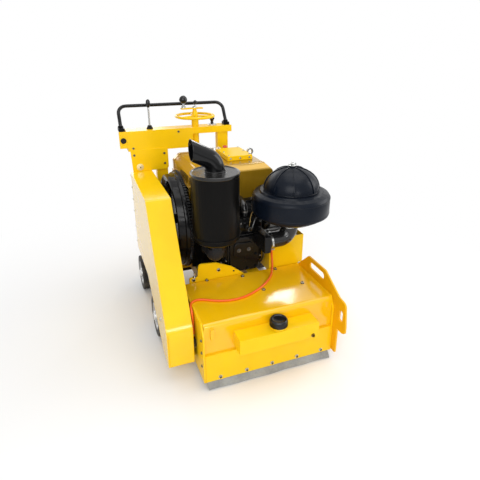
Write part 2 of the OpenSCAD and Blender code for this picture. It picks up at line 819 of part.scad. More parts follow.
// Muffler body as a shell: rims, dished ends, the inlet cone below and the collar of the tail pipe on top.
module muffler() {
    r = muffler_r;
    low = muffler_bottom_z;
    top = muffler_top_z;
    color(black) placed() translate([muffler_x, muffler_y, 0]) rotate_extrude($fn = 72) polygon([
        [exhaust_r - 4, inlet_z], [38, inlet_z], [44, low - 20], [50, low - 11], [r - 13, low], [r - 2, low + 10],
        [r - 2, top - 14], [r, top - 12], [r, top - 2], [r - 3, top], [r - 8, top - 3], [collar_r + 3, top - 3],
        [collar_r + 3, top + 6], [collar_r, top + 6], [collar_r, top - 3], [tail_r - 3, top - 3],
        [tail_r - 3, top - 6], [r - 5, top - 6], [r - 5, low + 11], [r - 15, low + 4], [48, low - 7],
        [41, low - 18], [36, inlet_z + 4], [exhaust_r - 4, inlet_z + 4]
    ]);
}

tail_bend_r = 59;
tail_angle = 62;
tail_lead = 11;
tail_reach = 74;

// Middle line of the tail pipe: up from the muffler, round to the left and on.
tail_points = [
    [0, 0, 0],
    for (i = [0:9])
        let (a = tail_angle * i / 9)
        [-tail_bend_r * (1 - cos(a)), 0, tail_lead + tail_bend_r * sin(a)],
    [
        -tail_bend_r * (1 - cos(tail_angle)) - tail_reach * sin(tail_angle), 0,
        tail_lead + tail_bend_r * sin(tail_angle) + tail_reach * cos(tail_angle)
    ]
];

// Tail pipe on the muffler, open at its slash-cut end, which faces left.
module tail_pipe() {
    color(black) placed() translate([muffler_x, muffler_y, muffler_top_z - 3])
        pipe(tail_points, tail_r, 3, 24, 90 - tail_angle);
}

cleaner_y = 262;
bowl_z = 572;
elbow_z = 502;
elbow_bend_r = 56;

// Intake port on the head's right front corner.
module intake_manifold() {
    color(black) placed() {
        block([62, cleaner_y - 44, elbow_z - 44], [96, head_y0 - cover_d, elbow_z + 38]);
        block([62, head_y0 - cover_d - 1, elbow_z], [96, head_y0, elbow_z + 38]);
    }
}

// Rubber elbow from the cleaner's bowl to the intake port.
module intake_elbow() {
    color(black) placed() {
        translate([cleaner_x, cleaner_y, elbow_z + elbow_bend_r]) cylinder(h = bowl_z - elbow_z - elbow_bend_r, r = intake_r);
        translate([cleaner_x - elbow_bend_r, cleaner_y, elbow_z + elbow_bend_r]) rotate([90, 0, 0])
            rotate([0, 0, -90]) bend(elbow_bend_r, intake_r, 90);
        rod_x([96, cleaner_y, elbow_z], intake_r, cleaner_x - elbow_bend_r - 96);
    }
}

cleaner_ribs = 8;

// Air cleaner: bowl, wide drum, lip and a ribbed dome with its wing nut.
module air_cleaner() {
    r = cleaner_r;
    dome_r = r - 52;
    lip_z = 738;
    dome_h = 96;
    color(black) placed() translate([cleaner_x, cleaner_y, 0]) {
        rotate_extrude($fn = 80) polygon(concat(
            [
                [0, bowl_z], [intake_r + 6, bowl_z], [intake_r + 10, bowl_z + 14], [r - 60, bowl_z + 24],
                [r - 26, bowl_z + 44], [r - 22, bowl_z + 54], [r - 2, bowl_z + 60], [r, bowl_z + 66],
                [r, lip_z - 26], [r - 8, lip_z - 14], [r - 30, lip_z - 8], [r - 34, lip_z],
                [dome_r, lip_z], [dome_r, lip_z + 6]
            ],
            [for (i = [1:8]) let (a = 90 * i / 9) [dome_r * cos(a), lip_z + 6 + dome_h * sin(a)]],
            [[16, lip_z + 6 + dome_h], [0, lip_z + 6 + dome_h]]
        ));
        for (i = [0:cleaner_ribs - 1]) rotate([0, 0, 360 * (i + 0.5) / cleaner_ribs]) rotate_extrude(angle = 2.4, $fn = 80)
            polygon(concat(
                [[dome_r - 4, lip_z + 6]],
                [for (k = [0:8]) let (a = 90 * k / 9) [(dome_r + 4) * cos(a), lip_z + 6 + (dome_h + 3) * sin(a)]],
                [[18, lip_z + dome_h]]
            ));
        translate([0, 0, lip_z + 6 + dome_h]) {
            cylinder(h = 6, r = 15);
            translate([0, 0, 6]) cylinder(h = 9, r = 9, $fn = 6);
            translate([0, 0, 15]) cylinder(h = 8, r = 4);
        }
    }
}

fuel_x0 = -205;
fuel_y0 = 456;
fuel_z0 = case_z1;
fuel_x1 = fuel_x0 + fuel_w;
fuel_y1 = fuel_y0 + fuel_l;
fuel_z1 = fuel_z0 + fuel_h;

// Fuel tank over the engine, with sloping upper edges and a seam flange.
module fuel_tank() {
    c = fuel_chamfer;
    across = [
        [fuel_x0, fuel_z0, 0], [fuel_x1, fuel_z0, 0], [fuel_x1, fuel_z1 - c, 14], [fuel_x1 - c, fuel_z1, 12],
        [fuel_x0 + c, fuel_z1, 12], [fuel_x0, fuel_z1 - c, 14]
    ];
    along = [
        [fuel_y0, fuel_z0, 0], [fuel_y1, fuel_z0, 0], [fuel_y1, fuel_z1, 8], [fuel_y0 + c, fuel_z1, 10],
        [fuel_y0, fuel_z1 - c * 0.7, 16]
    ];
    color(gold) placed() {
        intersection() {
            along_y(fuel_y0, fuel_l) polygon(outline(across));
            along_x(fuel_x0, fuel_w) polygon(outline(along));
        }
        block([fuel_x0 - 10, fuel_y0 + 30, fuel_z0 + 74], [fuel_x0, fuel_y1 - 20, fuel_z0 + 80]);
    }
}

header_x = 8;
header_y = 560;
header_h = 24;

// Radiator header box let into the fuel tank's top.
module header_box() {
    color(yellow) placed() {
        block([header_x, header_y, fuel_z1], [header_x + 130, header_y + 190, fuel_z1 + header_h]);
    }
}

// Filler cap with its two ears, behind the header box.
module filler_cap() {
    color(steel) placed() translate([header_x + 10, header_y + 240, fuel_z1]) {
        difference() {
            cylinder(h = 14, r = 34);
            translate([0, 0, 8]) cylinder(h = 8, r = 26);
        }
        translate([0, 0, 8]) cylinder(h = 10, r = 18);
    }
}

eye_x = 156;
eye_y = 640;
eye_bore_r = 10;

// Lifting eye beside the header box.
module lifting_eye() {
    color(steel) placed() translate([eye_x, eye_y, fuel_z1]) {
        cylinder(h = 5, r = 13);
        difference() {
            union() {
                block([-10, -6, 4], [10, 6, 22]);
                rod_y([0, -6, 22], eye_bore_r + 7, 12);
            }
            rod_y([0, -7, 22], eye_bore_r, 14);
        }
    }
}

battery_x = 144;
battery_y = housing_d + 8;

// Open box that the battery stands in.
module battery_box() {
    t = battery_box_t;
    low = [battery_x, battery_y, chassis_z];
    high = low + [battery_box_w, battery_box_l, battery_box_h];
    color(yellow) placed() difference() {
        block(low, high);
        block(low + [t, t, t], high + [-t, -t, 1]);
    }
}

battery_h = 140;

// Starter battery with its two posts and the raised lid.
module battery() {
    gap = 6;
    low = [battery_x + battery_box_t + gap, battery_y + battery_box_t + gap, chassis_z + battery_box_t];
    high = [battery_x + battery_box_w - battery_box_t - gap, battery_y + battery_box_l - battery_box_t - gap,
            chassis_z + battery_box_t + battery_h];
    color(black) placed() {
        block(low, high);
        block([low[0] + 14, low[1] + 12, high[2]], [high[0] - 40, high[1] - 12, high[2] + 10]);
        for (y = [low[1] + 26, high[1] - 26]) translate([high[0] - 22, y, high[2]]) cylinder(h = 16, r = 8);
    }
}

// Front axle: a square beam under the rails, with round ends for the wheels.
module front_axle() {
    color(black) placed() {
        rod_x([left_wheel_x + 4, front_axle_y, wheel_r], axle_r, right_wheel_x + wheel_w - left_wheel_x - 8);
        for (x = [-half_w - 10, half_w]) rod_x([x, front_axle_y, wheel_r], axle_r + 9, x < 0 ? 10 : 4.7);
    }
}

// Tyre and five-hole rim as one wheel, centred on its axle's end, from x = 0 to its width.
module wheel_shape() {
    hub_r = 26;
    color(black) rotate([0, 90, 0]) rotate_extrude($fn = 72) polygon(outline([
        [rim_r, 2, 0], [wheel_r - 6, 0, 4], [wheel_r, 8, 6], [wheel_r, wheel_w - 8, 6],
        [wheel_r - 6, wheel_w, 4], [rim_r, wheel_w - 2, 0]
    ], 3));
    color(steel) difference() {
        rotate([0, 90, 0]) rotate_extrude($fn = 72) polygon([
            [axle_r + run_gap, 0], [hub_r, 0], [hub_r + 4, 18], [rim_r - 12, 20], [rim_r - 6, 3], [rim_r, 2],
            [rim_r, wheel_w - 2], [rim_r - 6, wheel_w - 3], [rim_r - 12, 32], [hub_r + 4, 34], [hub_r, wheel_w],
            [axle_r + run_gap, wheel_w]
        ]);
        for (i = [0:4]) rotate([72 * i, 0, 0]) rod_x([-1, 0, (hub_r + rim_r) / 2 - 2], 9, wheel_w + 2);
    }
}

module front_left_wheel() {
    placed() translate([left_wheel_x, front_axle_y, wheel_r]) wheel_shape();
}

module front_right_wheel() {
    placed() translate([right_wheel_x, front_axle_y, wheel_r]) wheel_shape();
}

module rear_left_wheel() {
    placed() translate([left_wheel_x, rear_axle_y, wheel_r]) wheel_shape();
}

module rear_right_wheel() {
    placed() translate([right_wheel_x, rear_axle_y, wheel_r]) wheel_shape();
}

post_x = -59;
post_y = rear_axle_y;
screw_r = 10;
nut_r = screw_r + slide_gap;
guide_x = 50;
guide_r = 14;
guide_grip = 45;
beam_top_z = wheel_r + 25;
screw_low_z = beam_top_z - depth_travel + 1;
frame_box_z = rail_z - 70;

// Rear axle's carriage: beam, axle, the nut of the depth screw and two guide bars.
module rear_axle() {
    y = rear_axle_y;
    boss_r = axle_r + 7;
    color(black) placed() difference() {
        union() {
            block([-half_w + 24, y - 25, wheel_r - 25], [half_w - 24, y + 25, beam_top_z]);
            rod_x([left_wheel_x + 4, y, wheel_r], axle_r, right_wheel_x + wheel_w - left_wheel_x - 8);
            rod_x([-half_w - 10, y, wheel_r], boss_r, 40);
            rod_x([half_w - 30, y, wheel_r], boss_r, 34.7);
            translate([post_x, post_y, beam_top_z]) cylinder(h = 30, r = 30);
            for (x = [post_x - guide_x, post_x + guide_x]) translate([x, y, beam_top_z])
                cylinder(h = frame_box_z + guide_grip + depth_travel - beam_top_z, r = guide_r);
        }
        translate([post_x, post_y, 0]) cylinder(h = 400, r = nut_r);
    }
}

upright_x = [-285, 60];
upright_w = 60;
wing_side_h = 34;

// Frame at the operator's end: a cross box with the guides, and two uprights under the console.
module rear_frame() {
    y0 = rear_axle_y - 32;
    y1 = rear_axle_y + 32;
    top = [console_z - console_h, console_z - wing_side_h];
    color(yellow) placed() difference() {
        union() {
            block([-inner_half_w, y0, frame_box_z], [rail_x[0], y1, chassis_z]);
            block([rail_x[0] + rail_w, y0, frame_box_z], [rail_x[1], y1, chassis_z]);
            block([rail_x[1] + rail_w, y0, frame_box_z], [inner_half_w, y1, chassis_z]);
            for (i = [0, 1]) block([upright_x[i], y0 + 12, chassis_z], [upright_x[i] + upright_w, y1 - 12, top[i]]);
        }
        translate([post_x, post_y, 0]) cylinder(h = 600, r = post_r);
        for (x = [post_x - guide_x, post_x + guide_x]) translate([x, rear_axle_y, 0])
            cylinder(h = 600, r = guide_r + slide_gap);
    }
}

console_x0 = guard_left_x;
console_x1 = 140;
console_step_x = post_x - 22;
wing_t = 4;

// Operator's console: deep box at the left, shallow box at the right, and the wing beyond the belt guard.
module console() {
    y0 = console_y - 20;
    y1 = y0 + console_d;
    color(yellow) placed() difference() {
        union() {
            block([console_x0, y0, console_z - console_h], [console_step_x, y1, console_z]);
            block([console_step_x, y0 + 6, console_z - wing_side_h], [console_x1, y1, console_z]);
            block([wing_x, y0 + 2, console_z - 86], [guard_left_x, y0 + 2 + wing_t, console_z]);
        }
        translate([post_x, post_y, 0]) cylinder(h = 1200, r = post_r);
        rod_y([guard_left_x - wing_w / 2, y0, console_z - 46], 9, 10);
    }
}

// Panel between the belt guard and the console.
module console_side_panel() {
    y0 = console_y - 20;
    color(yellow) placed() {
        along_y(y0 - 4, 4) polygon(outline([
            [console_x0 + 14, guard_z, 0], [-223, guard_z, 16], [-223, console_z - console_h + 8, 0],
            [console_x0 + 8, console_z - console_h + 8, 0]
        ]));
    }
}

// Post of the depth screw, from the rear frame up through the console, with the screw below it.
module depth_post() {
    color(yellow) placed() translate([post_x, post_y, 0]) {
        translate([0, 0, frame_box_z]) cylinder(h = console_z + 45 - frame_box_z, r = post_r);
        translate([0, 0, screw_low_z]) cylinder(h = frame_box_z - screw_low_z, r = screw_r);
    }
}

wheel_ring_z = console_z + 56;

// Handwheel of the depth screw: ring, three spokes and the hub.
module handwheel() {
    color(black) placed() translate([post_x, post_y, 0]) {
        translate([0, 0, wheel_ring_z]) rotate_extrude($fn = 64) translate([handwheel_r, 0]) circle(ring_tube_r);
        for (i = [0:2]) translate([0, 0, wheel_ring_z]) rotate([0, 0, 90 + 120 * i]) rod_x([14, 0, 0], 5, handwheel_r - 20);
        translate([0, 0, console_z + 45]) cylinder(h = 22, r = 16);
        translate([0, 0, console_z + 67]) cylinder(h = 26, r1 = 16, r2 = 9);
    }
}

// Flat arm over the handwheel with the index plunger and the second knob.
module lock_arm() {
    z = console_z + 93;
    color(steel) placed() translate([post_x, post_y, z]) {
        block([-74, -14, 0], [44, 14, 6]);
        translate([-60, 0, 6]) cylinder(h = 44, r = 7);
        translate([-60, 0, 50]) sphere(r = 21);
        translate([4, 0, 6]) cylinder(h = 22, r = 5);
        translate([4, 0, 34]) sphere(r = 11);
    }
}

bar_y0 = rear_axle_y + 6;
bar_lean = 34;
bar_x0 = guard_left_x - 24;
clamp_h = 16;
bar_bend_r = 40;

// Middle line of the handlebar: up from one clamp, leaning over, round two bends and down to the other.
bar_base_z = console_z + clamp_h;
bar_rise = (handlebar_z - bar_base_z - 8) / cos(bar_lean);
bar_arc = [
    for (i = [0:6]) let (a = 15 * i) [bar_bend_r * (1 - cos(a)), bar_rise - bar_bend_r * (1 - sin(a))]
];
bar_flat = concat([for (p = bar_arc) p], [for (i = [6:-1:0]) [handlebar_w - bar_arc[i][0], bar_arc[i][1]]]);
bar_points = concat(
    [[0, 0, 0]],
    [[0, 0, 8]],
    [for (p = bar_flat) [p[0], p[1] * sin(bar_lean), 8 + p[1] * cos(bar_lean)]],
    [[handlebar_w, 0, 8]],
    [[handlebar_w, 0, 0]]
);

module handlebar() {
    color(black) placed() translate([bar_x0, bar_y0, bar_base_z]) tube(bar_points, handlebar_r, 16);
}

// Clamp blocks that hold the handlebar's two ends.
module handlebar_clamps() {
    color(black) placed() {
        block([bar_x0 - 14, console_y - 18, console_z], [bar_x0 + 16, bar_y0 + 18, bar_base_z]);
        block([bar_x0 + handlebar_w - 16, bar_y0 - 20, console_z], [bar_x0 + handlebar_w + 16, bar_y0 + 18, bar_base_z]);
    }
}

// Gear lever with its oval knob.
module gear_lever() {
    color(steel) placed() translate([-302, rear_axle_y + 10, console_z]) {
        cylinder(h = 6, r = 14);
        translate([0, 0, 6]) cylinder(h = 104, r = 4.5);
        translate([0, 0, 110]) rotate_extrude() polygon([
            [0, 0], [6, 0], [11, 14], [11, 28], [8, 38], [0, 42]
        ]);
    }
}

// Throttle: hourglass knob on a round base.
module throttle_lever() {
    color(black) placed() translate([44, rear_axle_y + 26, console_z]) rotate_extrude() polygon([
        [0, 0], [22, 0], [22, 5], [9, 7], [7, 16], [10, 25], [14, 31], [14, 38], [8, 42], [0, 42]
    ]);
}

base_frame();
engine_bracket();
housing_left_plate();
housing_right_plate();
housing_rear_wall();
front_panel();
lid();
edge_plate();
edge_plate_pins();
rubber_skirts();
water_tank();
tank_cap();
spray_valve();
spray_hose();
hose_fitting();
drum();
milling_bits();
drum_shaft();
drum_pulley();
drum_bearings();
belt_guard();
drive_belts();
engine_pulley();
flywheel();
crankcase();
cylinder_block();
cylinder_head();
head_cover();
exhaust_pipe();
muffler();
tail_pipe();
intake_manifold();
intake_elbow();
air_cleaner();
fuel_tank();
header_box();
filler_cap();
lifting_eye();
battery_box();
battery();
front_axle();
front_left_wheel();
front_right_wheel();
rear_axle();
rear_left_wheel();
rear_right_wheel();
rear_frame();
console();
console_side_panel();
depth_post();
handwheel();
lock_arm();
handlebar();
handlebar_clamps();
gear_lever();
throttle_lever();
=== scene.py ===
"""Looks of a walk-behind road milling machine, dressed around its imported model.

Positions are written as on the drawing: millimetres, x from the middle of the drum housing, y from its
front face towards the operator, z from the ground. Datum turns them into the frame's metres.
"""
import json
import logging
import math
from dataclasses import dataclass, replace
from enum import Enum
from typing import Callable, Dict, Iterable, List, Optional, Sequence, Tuple

import bmesh
import bpy
from mathutils import Matrix, Vector


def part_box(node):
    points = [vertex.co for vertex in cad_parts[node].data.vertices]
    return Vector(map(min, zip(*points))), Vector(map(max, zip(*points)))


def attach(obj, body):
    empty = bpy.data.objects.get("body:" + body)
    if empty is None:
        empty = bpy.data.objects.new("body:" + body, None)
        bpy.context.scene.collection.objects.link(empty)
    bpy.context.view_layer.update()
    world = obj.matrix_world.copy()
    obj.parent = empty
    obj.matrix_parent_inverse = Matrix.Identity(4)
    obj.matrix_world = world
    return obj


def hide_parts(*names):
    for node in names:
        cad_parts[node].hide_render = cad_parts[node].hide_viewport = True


logging.basicConfig(level=logging.INFO, format="%(message)s")
log = logging.getLogger("milling_machine")

BMesh = bmesh.types.BMesh
Mesh = bpy.types.Mesh
Piece = bpy.types.Object
Socket = bpy.types.NodeSocket
Tree = bpy.types.NodeTree
Point = Tuple[float, float, float]
Spot = Tuple[float, float]
Profile = Sequence[Spot]
FaceTest = Callable[[Vector, Vector], bool]
Sockets = Dict[str, Tuple[str, object]]
Feeds = Optional[Dict[object, object]]

MM = 0.001

# Angles in degrees from which the edges of made pieces and of smooth pipes and caps stay sharp.
SHARP = 35.0
PIPE_SHARP = 50.0

# The six directions on the machine.
UP, DOWN = (0.0, 0.0, 1.0), (0.0, 0.0, -1.0)
LEFT, RIGHT = (-1.0, 0.0, 0.0), (1.0, 0.0, 0.0)
FRONT, REAR = (0.0, -1.0, 0.0), (0.0, 1.0, 0.0)

# The y of the housing's front edge, the y and z of the two axes that the belts join, and the x of the
# pulleys' outer faces, as on the drawing.
HOUSING_FRONT_Y = -10.0
DRUM_AXIS = (172.0, 158.0)
CRANK_AXIS = (630.0, 520.0)
PULLEY_FACE_X = -410.5


class Surface(Enum):
    """The kinds of surface that the machine's finishes are made of."""

    PAINT = "paint"
    CAST = "cast"
    STEEL = "steel"
    RUBBER = "rubber"
    PLASTIC = "plastic"


@dataclass(frozen=True)
class Finish:
    """One finish: its material slot, colour and the strength of each effect on it."""

    name: str
    slot: str
    colour: Point
    roughness: float
    surface: Surface
    metallic: float = 0.0
    coat: float = 0.0
    specular: float = 0.5
    mottle: float = 0.08
    grain_scale: float = 900.0
    grain_depth: float = 0.05
    # Strength and colour of the edges: partly wear, partly a painted highlight along edges.
    rub: float = 0.35
    rub_and_highlight_colour: Point = (0.30, 0.29, 0.28)
    dust: float = 0.15

    def but(self, name: str, **changes: object) -> "Finish":
        """Gives a copy under another name, with some values changed."""
        return replace(self, name=name, **changes)


# The yellow's pale edge colour is partly wear and partly a painted highlight along edges.
YELLOW = Finish("machine_yellow", "yellow_paint", (0.90, 0.56, 0.002), 0.30, Surface.PAINT, coat=0.08,
                specular=0.2, mottle=0.02, rub=0.3, rub_and_highlight_colour=(0.98, 0.80, 0.22), dust=0.03)
# The lid's darker, more orange yellow is painted shade on its upward face; it is the same yellow paint as
# the rest, with more gloss.
LID_SHADED_YELLOW = YELLOW.but("lid_yellow_painted_shade", colour=(0.88, 0.49, 0.002), roughness=0.18, coat=0.6, specular=0.3)
# The guard's slightly lighter yellow is painted light on its lit front; it is the same yellow paint as the
# rest, with more gloss.
GUARD_LIT_YELLOW = YELLOW.but("guard_yellow_painted_light", colour=(0.92, 0.58, 0.002), roughness=0.2, coat=0.5)
# The side plate's darker orange yellow is painted shade; it is the same yellow paint as the rest.
SHADED_PLATE_YELLOW = YELLOW.but("side_plate_yellow_painted_shade", colour=(0.86, 0.43, 0.002), roughness=0.3)
WELD_YELLOW = YELLOW.but("weld_yellow", colour=(0.86, 0.50, 0.004), roughness=0.36, rub=0.0)
# The tank's gold is darkened with painted shade, and its strong pale edge colour is a painted highlight
# along its edges and chamfers.
SHADED_GOLD = Finish("tank_gold_painted_shade", "gold_paint", (0.42, 0.24, 0.012), 0.2, Surface.PAINT, metallic=0.45, coat=0.6,
              specular=0.4, mottle=0.03, grain_depth=0.03, rub=0.75, rub_and_highlight_colour=(0.95, 0.80, 0.36), dust=0.0)
SATIN_BLACK = Finish("satin_black", "black_paint", (0.0034, 0.0036, 0.0042), 0.34, Surface.PAINT,
                     specular=0.09, mottle=0.05, rub=0.2, rub_and_highlight_colour=(0.05, 0.05, 0.055), dust=0.02)
NAVY_BLACK = SATIN_BLACK.but("cleaner_black", colour=(0.0036, 0.006, 0.0115), roughness=0.3,
                             specular=0.14)
GLOSS_BLACK = SATIN_BLACK.but("gloss_black", roughness=0.14, coat=0.16, specular=0.2)
SOOT_BLACK = SATIN_BLACK.but("muffler_black", colour=(0.0034, 0.0032, 0.003), specular=0.08, dust=0.01)
MUFFLER_TOP = SOOT_BLACK.but("muffler_top", roughness=0.26, coat=0.3, specular=0.35)
CONE_GREY = SOOT_BLACK.but("cone_grey", colour=(0.022, 0.022, 0.024), roughness=0.5)
CAST_BLACK = Finish("cast_black", "black_cast", (0.004, 0.004, 0.0045), 0.38, Surface.CAST, specular=0.16,
                    mottle=0.08, grain_scale=420.0, grain_depth=0.3, rub=0.2,
                    rub_and_highlight_colour=(0.05, 0.05, 0.055), dust=0.05)
ENGINE_BLACK = CAST_BLACK.but("engine_black", colour=(0.0034, 0.0035, 0.0038), roughness=0.26, coat=0.14,
                              grain_depth=0.22, dust=0.02)
GLOSS_CAST = CAST_BLACK.but("flywheel_black", roughness=0.2, coat=0.1, grain_depth=0.04, dust=0.01)
STEEL = Finish("bright_steel", "steel", (0.62, 0.62, 0.60), 0.26, Surface.STEEL, metallic=1.0, rub=0.2,
               rub_and_highlight_colour=(0.9, 0.9, 0.88), dust=0.05)
CHROME = STEEL.but("chrome", colour=(0.78, 0.78, 0.77), roughness=0.12, mottle=0.03, dust=0.0)
CAST_STEEL = STEEL.but("dulled_steel", colour=(0.15, 0.15, 0.15), roughness=0.38)
DARK_STEEL = STEEL.but("dark_steel", colour=(0.16, 0.155, 0.15), roughness=0.42)
CARBIDE = STEEL.but("carbide_tip", colour=(0.30, 0.31, 0.33), roughness=0.34)
ZINC = STEEL.but("zinc", colour=(0.70, 0.71, 0.69), roughness=0.3, mottle=0.2)
BRASS = STEEL.but("brass", colour=(0.34, 0.23, 0.08), roughness=0.34)
SKIRT = Finish("skirt_grey", "skirt_rubber", (0.31, 0.32, 0.31), 0.66, Surface.RUBBER, specular=0.3,
               rub=0.1, mottle=0.16, grain_scale=520.0, grain_depth=0.3, dust=0.2)
HOSE = Finish("hose_orange", "hose_rubber", (0.86, 0.13, 0.006), 0.34, Surface.RUBBER, specular=0.4,
              rub=0.0, mottle=0.03, grain_depth=0.08, dust=0.03)
BELT = Finish("belt_black", "black_rubber", (0.010, 0.010, 0.010), 0.6, Surface.RUBBER, specular=0.25,
              grain_depth=0.25, rub=0.15, rub_and_highlight_colour=(0.05, 0.05, 0.05), dust=0.05)
ELBOW = BELT.but("elbow_rubber", roughness=0.2, coat=0.2, specular=0.4, grain_depth=0.05, dust=0.02)
TYRE = Finish("tyre_rubber", "wheel", (0.018, 0.0175, 0.017), 0.65, Surface.RUBBER, specular=0.25, rub=0.2,
              rub_and_highlight_colour=(0.06, 0.058, 0.055), grain_depth=0.3, dust=0.25)
RIM = Finish("rim_silver", "wheel", (0.50, 0.50, 0.49), 0.34, Surface.STEEL, metallic=0.85, rub=0.2,
             rub_and_highlight_colour=(0.8, 0.8, 0.78), dust=0.12)
KNOB = Finish("knob_black", "black_plastic", (0.006, 0.006, 0.0066), 0.2, Surface.PLASTIC, coat=0.15,
              specular=0.3, mottle=0.04, grain_depth=0.04, rub=0.1, rub_and_highlight_colour=(0.03, 0.03, 0.03), dust=0.02)
BATTERY_BLACK = KNOB.but("battery_black", coat=0.0, roughness=0.5, grain_depth=0.4)
BARE_DISC = Finish("bare_disc", "steel", (0.72, 0.62, 0.34), 0.35, Surface.STEEL, metallic=0.3, rub=0.1,
                   dust=0.05)
LENS_RED = Finish("lens_red", "black_plastic", (0.60, 0.02, 0.01), 0.15, Surface.PLASTIC, coat=0.4, rub=0.0,
                  dust=0.0)


@dataclass(frozen=True)
class Bolt:
    """One kind of bolt or nut with its washer.

    Its radii and height are in millimetres, and dome is the height of its round top over its radius.
    """

    head: float
    height: float
    washer: float
    sides: int = 6
    dome: float = 0.0


class Wiring:
    """A node tree in the making, with short calls for its sockets, nodes and links."""

    def __init__(self, tree: Tree) -> None:
        """Takes the tree to wire, empty or to be added to."""
        self.tree = tree

    @classmethod
    def group(cls, name: str, kind: str, takes: Sockets, gives: Dict[str, str]) -> "Wiring":
        """Starts a node group with named sockets.

        Args:
            name: the group's name.
            kind: the tree's type, of shader or geometry nodes.
            takes: socket type and default value for each input.
            gives: socket type for each output.

        Returns:
            The wiring of the new group.
        """
        tree = bpy.data.node_groups.new(name, kind)
        for label, (socket_type, default) in takes.items():
            socket = tree.interface.new_socket(name=label, in_out="INPUT", socket_type=socket_type)
            if default is not None:
                socket.default_value = default
        for label, socket_type in gives.items():
            tree.interface.new_socket(name=label, in_out="OUTPUT", socket_type=socket_type)
        return cls(tree)

    def add(self, kind: str, feeds: Feeds = None, **settings: object) -> bpy.types.Node:
        """Adds a node.

        Args:
            kind: the node's type name.
            feeds: for each input, by name or number, a value or the socket that feeds it.
            settings: properties of the node itself.

        Returns:
            The new node.
        """
        node = self.tree.nodes.new(kind)
        for key, value in settings.items():
            setattr(node, key, value)
        for key, value in (feeds or {}).items():
            self.feed(node.inputs[key], value)
        return node

    def out(self, kind: str, feeds: Feeds = None, **settings: object) -> Socket:
        """Adds a node and returns its first output."""
        return self.add(kind, feeds, **settings).outputs[0]

    def feed(self, socket: Socket, value: object) -> None:
        """Links a socket to another one, or sets its value."""
        if isinstance(value, Socket):
            self.tree.links.new(value, socket)
        else:
            socket.default_value = value

    def place(self) -> Socket:
        """Gives the object coordinates."""
        return self.add("ShaderNodeTexCoord").outputs["Object"]

    def math(self, operation: str, *values: object, clamp: bool = False) -> Socket:
        """Adds a Math node and returns its result."""
        return self.out("ShaderNodeMath", dict(enumerate(values)), operation=operation, use_clamp=clamp)

    def ramp(self, value: object, low: float, high: float) -> Socket:
        """Adds a smooth step from low to high and returns it."""
        return self.out("ShaderNodeMapRange", {"Value": value, "From Min": low, "From Max": high},
                        interpolation_type="SMOOTHSTEP")

    def mix(self, factor: object, a: object, b: object) -> Socket:
        """Adds a colour mix and returns its result."""
        return self.add("ShaderNodeMix", {0: factor, 6: a, 7: b}, data_type="RGBA").outputs[2]


